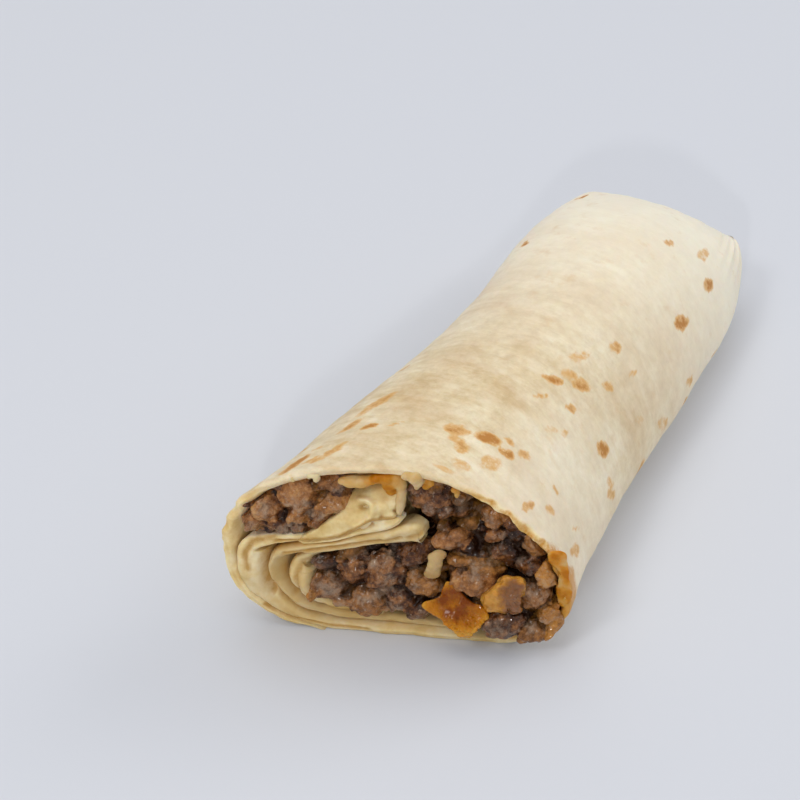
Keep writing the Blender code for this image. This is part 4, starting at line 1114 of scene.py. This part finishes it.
def filler_crumbles(outline, shown, count, seed):
    """Further crumbles, set back between those that show, spaced by a seeded draw."""
    draw = random.Random(seed)
    us, vs = zip(*outline)
    room = moved_out(outline, -0.8)
    placed = [(u, v) for u, v, *rest in shown]
    fillers = []
    while len(fillers) < count:
        spot = (draw.uniform(min(us), max(us)), draw.uniform(min(vs), max(vs)))
        spacing = min(math.hypot(spot[0] - u, spot[1] - v) for u, v in placed)
        if spacing > draw.uniform(1.2, 3.4) and inside(room, np.array([spot]))[0]:
            placed.append(spot)
            size = draw.uniform(1.1, 2.3)
            fillers.append((*spot, draw.uniform(-3.2, -0.6), size, size * draw.uniform(0.75, 1.3),
                            draw.uniform(0.05, 0.5), draw.uniform(-0.5, 0.35)))
    return fillers


def fused_lumps(name, centres, sizes, turns, voxel, inputs):
    """Rough lumps at the centres, in section places, with one skin over them all."""
    made = new_piece(name, centres)
    for kind, values in (("size", sizes), ("turn", turns)):
        stored = made.data.attributes.new(kind, "FLOAT_VECTOR", "POINT")
        stored.data.foreach_set("vector", np.array(values).ravel())
    run_tree(made, CRUMBLES_TREE, inputs)
    finish_with(made, "REMESH", mode="VOXEL", voxel_size=voxel)
    return made


def beef(name, outline, depth, shown, filler_count, seed):
    """Heap of beef in one pocket, with its crumbles at the cut."""
    draw = random.Random(seed)
    fit = moved_out(outline, -0.05)
    crumbles = list(shown) + filler_crumbles(outline, shown, filler_count, seed)
    centres, sizes, turns = [], [], []
    for u, v, ahead, half_u, half_v, tone, glaze in crumbles:
        half_depth = max((heap_start(v) + CRUMBLE_ROOT + ahead) / 2, 1.0)
        centres.append((u, v, half_depth - ahead))
        sizes.append((half_u, half_v, half_depth))
        turns.append((draw.uniform(-0.25, 0.25), draw.uniform(-0.25, 0.25), draw.uniform(-0.4, 0.4)))
    slab = loft(name + "_slab", [section_ring(fit, heap_start(np.array(fit)[:, 1])),
                                 section_ring(fit, FRONT_BACK)], BEEF)
    made = plain_mesh(fused_lumps(name, centres, sizes, turns, BEEF_VOXEL, {
        "Core": slab, "Unevenness": 1.35, "Wave Scale": 0.36, "Grain Size": 0.75, "Grain Density": 0.22,
        "Seed": seed, "Material": BEEF}))
    bpy.data.objects.remove(slab)

    # Roughen the crumbles, and give each point the tone and glaze of the crumble nearest to it
    section = read(made.data, "co")
    rough = np.abs(waves(section, 3.2, shift=seed + 9.0)) + 0.6 * np.abs(waves(section, 1.6, shift=seed))
    rough += 0.14 * waves(section, 0.75, shift=seed) - 0.3
    section = section + read(made.data, "normal") * (rough * (section[:, 2] < FRONT_BACK - 1.0))[:, None]
    away = np.array([np.linalg.norm((section - np.array(centre)) / np.array(size), axis=1)
                     for centre, size in zip(centres, sizes)])
    nearest = np.array(crumbles)[away.argmin(axis=0)]

    # Fill the deepest clefts, and press the heap into its pocket
    cleft = hollow_of(section, cell_size=0.7, spread=3, full_depth=10.0) * 10.0
    filled = between(CLEFT_FILL, section[:, 0]) * np.clip(cleft - 1.0, 0.0, 5.0)
    section[:, 2] -= filled * (section[:, 2] < FRONT_BACK - 1.0)
    behind = section[:, 2] > -0.35
    section[behind, :2] = pressed_in(section[behind, :2], fit)
    section[~behind, :2] = pressed_in(section[~behind, :2], moved_out(fit, OVERHANG))
    section[:, 1] = np.maximum(section[:, 1], 0.3)
    write_points(made.data, carried(section))
    # Painted shade for the points that lie behind their neighbours
    write_values(made.data, tone=nearest[:, 5], glaze=np.maximum(nearest[:, 6], 0.0),
                 hollow=hollow_of(section, cell_size=0.7, spread=3, full_depth=2.4))

    # A plain core fills the pocket behind the crumbles
    depths = (CORE_FRONT, 12.0, 0.25 * depth, 0.5 * depth, 0.75 * depth, 0.96 * depth)
    rings = [carried(section_ring(fit, d)) for d in depths] + [carried(section_ring(fit, depth, 0.8))]
    core = loft(name + "_core", rings, BEEF)
    write_values(core.data, tone=0.3)
    bm = bmesh.new()
    bm.from_mesh(made.data)
    bm.from_mesh(core.data)
    bm.to_mesh(made.data)
    bm.free()
    bpy.data.objects.remove(core)
    made.data.shade_smooth()
    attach(made, "root")
    return made


main_beef = beef("beef_in_main_pocket", main_pocket(), MAIN_DEPTH, MAIN_CRUMBLES, filler_count=60, seed=7)
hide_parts("beef_main")
upper_beef = beef("beef_in_upper_pocket", rounded(UPPER_POCKET, True, 2), UPPER_DEPTH, UPPER_CRUMBLES,
                  filler_count=16, seed=91)
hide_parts("beef_upper")


# Melted cheese: a soft curd, an orange melt and a torn pale piece stuck under the roof,
# with one strand that runs down to the lip. The bead left of it is dough of the roof,
# squeezed out at the cut.
MELTED_LUMPS = (
    # shows at a, b, depth, half width, half height, half depth, colour from white to orange
    (-10.0, 39.2, 1.0, 1.2, 0.8, 1.4, 0.4), (-8.4, 39.1, 1.0, 1.9, 1.25, 1.7, 0.3),
    (-6.5, 39.3, 1.1, 1.9, 1.25, 1.8, 0.35), (-4.9, 39.9, 1.2, 1.6, 1.0, 1.7, 0.5),
    (-3.4, 40.6, 1.2, 1.6, 1.1, 1.7, 0.95), (-1.9, 40.5, 1.2, 1.7, 1.5, 1.6, 1.0),
    (-1.5, 39.2, 1.4, 1.6, 1.7, 1.4, 1.0), (-1.1, 37.9, 1.6, 1.25, 1.5, 1.2, 0.85),
    (-0.2, 40.2, 1.3, 1.3, 1.8, 1.3, 0.5), (0.6, 38.8, 1.2, 0.9, 1.8, 1.1, 0.25),
    (0.6, 37.0, 1.1, 0.9, 1.6, 1.1, 0.12), (0.4, 35.4, 0.8, 0.95, 1.5, 1.0, 0.1),
    (0.3, 34.0, 0.5, 0.9, 1.4, 0.9, 0.1), (0.2, 32.7, 0.3, 0.7, 1.1, 0.8, 0.12),
    (1.9, 41.5, 0.3, 1.4, 1.0, 1.3, 0.2), (3.1, 41.0, 0.0, 1.3, 1.3, 1.3, 0.1),
    (3.6, 39.9, 0.1, 0.9, 1.2, 1.0, 0.05), (3.4, 38.9, 0.4, 0.6, 0.8, 0.6, 0.15),
    (5.1, 41.0, 1.9, 1.4, 0.9, 1.2, 0.85), (6.1, 40.0, 2.1, 1.0, 1.1, 1.1, 0.75),
    (5.3, 39.5, 2.2, 1.0, 1.0, 1.0, 0.8), (10.6, 39.1, 1.9, 0.9, 0.8, 1.0, 0.6),
    (11.0, 38.0, 2.0, 0.6, 1.0, 0.8, 0.55),
)
# The bead, in the same columns
BEAD = ((-15.7, 39.7, 0.2, 1.2, 0.55, 0.9, 0.3), (-15.1, 38.9, 0.0, 0.62, 0.85, 0.7, 0.3),
        (-16.4, 39.3, 0.2, 0.4, 0.6, 0.6, 0.3), (-19.4, 38.3, 0.2, 0.5, 0.7, 0.6, 0.3))


def cheese_material(name, stops, roughness, relief, gloss=0.4):
    """Melted cheese: glossy, slightly see-through, coloured along a ramp by its tone, with painted shade."""
    made, tree = new_material(name)
    maths = arithmetic(tree)
    speckle, stored, ramped, mixed = painting(tree)[:4]
    shade = maths("MULTIPLY", maths("SUBTRACT", speckle(380.0), 0.5), 1.1)
    colour = ramped(maths("ADD", stored("tone"), shade), *stops)
    surfaced(tree, {
        # Painted shade: the colour is darkened where it lies behind its neighbours
        "Base Color": mixed(stored("hollow"), colour, (0.5, 0.36, 0.24), "MULTIPLY"), "Roughness": roughness,
        "Specular IOR Level": 0.06, "Coat Weight": gloss, "Coat Roughness": 0.07, "Coat IOR": 1.38,
        "Subsurface Weight": 0.3, "Subsurface Radius": (1.0, 0.4, 0.08), "Subsurface Scale": 0.002,
    }, speckle(1300.0), strength=relief, distance=0.0005)
    return made


def soft_lumps(name, lumps, look, voxel, unevenness, seed, easing):
    """One smooth skin over lumps given by where they show, with each lump's tone and painted shade in
    recesses.
    """
    shown = np.array(lumps)
    centres = seen_at(shown[:, 0], shown[:, 1], shown[:, 2])
    sizes, tones = shown[:, [3, 4, 5]], shown[:, 6]
    made = fused_lumps(name, centres.tolist(), sizes, np.zeros(sizes.shape), voxel, {
        "Unevenness": unevenness, "Wave Scale": 0.6, "Grain Size": 0.1, "Grain Density": 0.0,
        "Seed": seed, "Material": look})
    finish_with(made, "SMOOTH", factor=0.6, iterations=easing)
    made = plain_mesh(made)
    made.data.materials.clear()
    made.data.materials.append(look)
    section = read(made.data, "co")
    away = np.array([np.linalg.norm((section - c) / s, axis=1) for c, s in zip(centres, sizes)])
    weight = np.exp(-3.0 * away ** 2) + 1e-12
    write_values(made.data, tone=(weight * tones[:, None]).sum(axis=0) / weight.sum(axis=0),
                 hollow=hollow_of(section, cell_size=0.4, spread=3, full_depth=1.6))
    write_points(made.data, carried(section))
    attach(made, "root")
    return made


# Its colours are kept dark as painted shade of the roof over the cheese; the glaze on the wall shares them
MELTED = cheese_material("melted_cheese", (
    (0.0, (0.66, 0.49, 0.26)), (0.35, (0.61, 0.385, 0.135)), (0.75, (0.58, 0.25, 0.025)),
    (1.0, (0.46, 0.16, 0.004))), roughness=0.3, relief=0.4, gloss=0.25)
melted = soft_lumps("melted_cheese_drips", MELTED_LUMPS, MELTED, voxel=0.16, unevenness=0.45,
                    seed=3, easing=20)
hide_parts("melted_cheese")
bead = soft_lumps("dough_bead", BEAD, DOUGH, voxel=0.1, unevenness=0.3, seed=4, easing=8)
# Painted shade, even over the whole bead
write_values(bead.data, cut_face=0.5, hollow=0.4)


# Orange cheese flake: a thin glossy piece of melted cheese that hangs over the lower
# edge of the cut, darker and clearer in the middle than at its torn rim.
FLAKE_OUTLINE = (
    # shows at a, b
    (8.8, 15.6), (9.8, 15.6), (11.1, 14.3), (12.6, 12.1), (14.4, 11.0), (15.8, 10.2), (17.1, 7.9),
    (16.3, 6.3), (15.4, 5.2), (14.5, 3.3), (13.2, 1.8), (11.7, 1.6), (10.2, 3.0), (8.0, 5.5), (5.8, 7.7),
    (4.3, 8.9), (5.4, 10.5), (7.5, 11.8), (8.3, 13.4),
)
FLAKE_SIZE = (5.5, 6.0)
FLAKE_THICKNESS = 1.5
# It stands ahead of the cut by the first of FLAKE_AHEAD, and by both where its ridge is
FLAKE_AHEAD = (0.9, 3.8)
FLAKE_RIDGE = 2.2
FLAKE_RIDGE_WIDTH = 5.2
PIECE_RINGS = 30
RIM_SQUARENESS = 0.7
# How soon the rings widen from the middle: a lower power makes a flatter face
PIECE_FULLNESS = 0.6


def torn_piece(name, outline, thickness, fullness, look):
    """Closed piece in the cut plane: rings from the middle of its face round the rim to its back."""
    smooth_outline = rounded(outline, True, 8)
    rings = []
    for turn in np.linspace(0.02, 0.98, PIECE_RINGS):
        angle = turn * math.pi
        depth = -thickness / 2 * math.copysign(abs(math.cos(angle)) ** RIM_SQUARENESS, math.cos(angle))
        rings.append(section_ring(smooth_outline, depth, math.sin(angle) ** fullness))
    made = loft(name, rings, look)
    finish_with(made, "SUBSURF", levels=1, render_levels=1)
    return plain_mesh(made)


def put_in_place(made, section, tone):
    """Carry a piece, given by where it shows, into the burrito with its tone."""
    write_values(made.data, tone=np.clip(tone, 0.0, 1.0))
    write_points(made.data, carried(seen_at(*section.T)))
    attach(made, "root")


FLAKE_LOOK = cheese_material("orange_cheese", (
    (0.0, (0.64, 0.30, 0.03)), (0.4, (0.56, 0.215, 0.006)), (0.75, (0.40, 0.128, 0.0)),
    (1.0, (0.23, 0.05, 0.0))), roughness=0.2, relief=1.0, gloss=0.6)
flake = torn_piece("orange_cheese_flake", FLAKE_OUTLINE, FLAKE_THICKNESS, PIECE_FULLNESS, FLAKE_LOOK)
section = read(flake.data, "co")
middle = np.array(FLAKE_OUTLINE).mean(axis=0)
rim = np.clip(np.linalg.norm((section[:, :2] - middle) / FLAKE_SIZE, axis=1), 0.0, 1.2) ** 4
lower = fade(section[:, 1], 8.0, 4.0)
upper = fade(section[:, 1], 9.5, 13.5)
bends = 0.55 * waves(section, 3.2, (1, 1, 9), 3.0) + (0.14 + 0.22 * lower) * waves(section, 1.3, shift=8.0)
bends += (0.03 + 0.3 * lower) * waves(section, 0.55, shift=1.0)
section = section + read(flake.data, "normal") * bends[:, None]
on_ridge = np.exp(-((section[:, 1] - FLAKE_RIDGE) / FLAKE_RIDGE_WIDTH) ** 2)
section[:, 2] -= FLAKE_AHEAD[0] + FLAKE_AHEAD[1] * on_ridge
section[:, 2] -= 0.9 * waves(section, 7.0, (1, 1, 9), 44.0)
# Paler at the rim and darker towards the top; the lower half, which faces up, is painted lighter as painted
# light
put_in_place(flake, section, 0.9 - 0.5 * rim + 0.3 * upper - 0.3 * lower)
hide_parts("cheese_flake")


# Glaze on the wall: a thin golden-brown film of melted cheese that has run down the cut
# edge of the outer wrap on the right, between the wall and the meat.
WALL_GLAZE_OUTLINE = (
    (27.7, 25.2), (28.8, 25.9), (30.0, 25.9), (30.9, 25.2), (31.3, 23.5), (31.9, 20.3), (32.2, 17.1),
    (32.5, 15.3), (32.2, 13.2), (31.2, 11.7), (30.1, 13.3), (29.7, 15.6), (29.8, 18.4), (29.6, 20.6),
    (28.8, 21.8), (27.9, 23.2),
)
WALL_GLAZE_THICKNESS = 0.9
glaze = torn_piece("melted_cheese_on_wall", WALL_GLAZE_OUTLINE, WALL_GLAZE_THICKNESS, PIECE_FULLNESS, MELTED)
section = read(glaze.data, "co")
blotches = waves(section, 2.6, (1, 1.4, 1), 33.0) + 0.3 * waves(section, 0.9, shift=12.0)
bends = 0.42 * waves(section, 3.4, (1, 1, 4), 17.0) + 0.1 * waves(section, 0.9, shift=4.0)
section = section + read(glaze.data, "normal") * bends[:, None]
section[:, 2] += 0.3 - 0.05 * (section[:, 1] - 18.0)
put_in_place(glaze, section, 0.75 + 0.7 * blotches)


# Glazed crumble: one larger crumble of meat whose left and upper side is coated with
# orange melted cheese, with a paler rim where the coat is thick.
GLAZED_OUTLINE = (
    (15.7, 10.3), (15.9, 12.5), (17.0, 15.0), (18.3, 17.2), (19.8, 18.6), (21.5, 18.9), (23.0, 18.1),
    (23.8, 16.7), (23.5, 15.2), (22.9, 13.3), (22.6, 11.4), (22.9, 9.6), (21.6, 9.3), (20.6, 9.9),
    (19.7, 8.9), (18.0, 8.7), (16.5, 8.8),
)
BARE_MEAT = ((21.4, 10.4), (20.6, 12.8), (21.2, 15.6))
GLAZED_THICKNESS = 4.6
GLAZED_FULLNESS = 0.7
GLAZED_LOOK = cheese_material("glazed_beef", (
    (0.0, (0.23, 0.095, 0.034)), (0.35, (0.30, 0.12, 0.03)), (0.7, (0.44, 0.185, 0.022)),
    (1.0, (0.62, 0.29, 0.045))), roughness=0.24, relief=0.9, gloss=0.75)
glazed = torn_piece("glazed_crumble_coated", GLAZED_OUTLINE, GLAZED_THICKNESS, GLAZED_FULLNESS, GLAZED_LOOK)
section = read(glazed.data, "co")
coat = fade(distance_to_line(section[:, :2], BARE_MEAT), 0.9, 2.9)
bends = 0.75 * waves(section, 2.8, shift=6.0) + (0.4 - 0.1 * coat) * waves(section, 1.3, shift=2.0)
bends += (0.18 - 0.08 * coat) * waves(section, 0.6, shift=9.0)
section = section + read(glazed.data, "normal") * bends[:, None]
section[:, 2] -= GLAZED_THICKNESS / 2 + 0.5 * fade(section[:, 1], 18.0, 9.0)
put_in_place(glazed, section, coat + 0.35 * waves(section, 1.4, shift=21.0) + 0.15 * waves(section, 0.6))
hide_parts("glazed_crumble")


# Onion shred: a short cooked strip of onion, pale and smooth, wider at its foot and bent
# to the right at its top, standing between the crumbles.
# The darker lumps on its right side are painted shade; the one at its foot is darker too
ONION_LUMPS = (
    # shows at a, b, depth, half width, half height, half depth, tone from pale to dark
    (7.4, 22.5, -0.5, 1.35, 1.0, 1.0, 0.0), (8.1, 22.3, -0.5, 0.8, 0.9, 0.9, 0.5),
    (6.3, 21.9, -0.6, 0.9, 0.9, 0.9, 0.0), (6.9, 21.2, -0.7, 1.4, 1.3, 1.1, 0.1),
    (6.75, 19.9, -0.8, 1.4, 1.4, 1.1, 0.0), (7.6, 19.6, -0.6, 0.5, 1.4, 0.8, 0.6),
    (6.5, 18.6, -0.8, 1.45, 1.4, 1.1, 0.1), (6.3, 17.5, -0.8, 1.6, 1.0, 1.1, 0.5),
)
ONION_LOOK = cheese_material("cooked_onion", (
    (0.0, (0.55, 0.38, 0.17)), (0.5, (0.44, 0.27, 0.10)), (0.8, (0.38, 0.23, 0.09)),
    (1.0, (0.32, 0.17, 0.06))), roughness=0.3, relief=0.3)
onion = soft_lumps("onion_shred_strip", ONION_LUMPS, ONION_LOOK, voxel=0.13, unevenness=0.35,
                   seed=6, easing=16)
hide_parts("onion_shred")
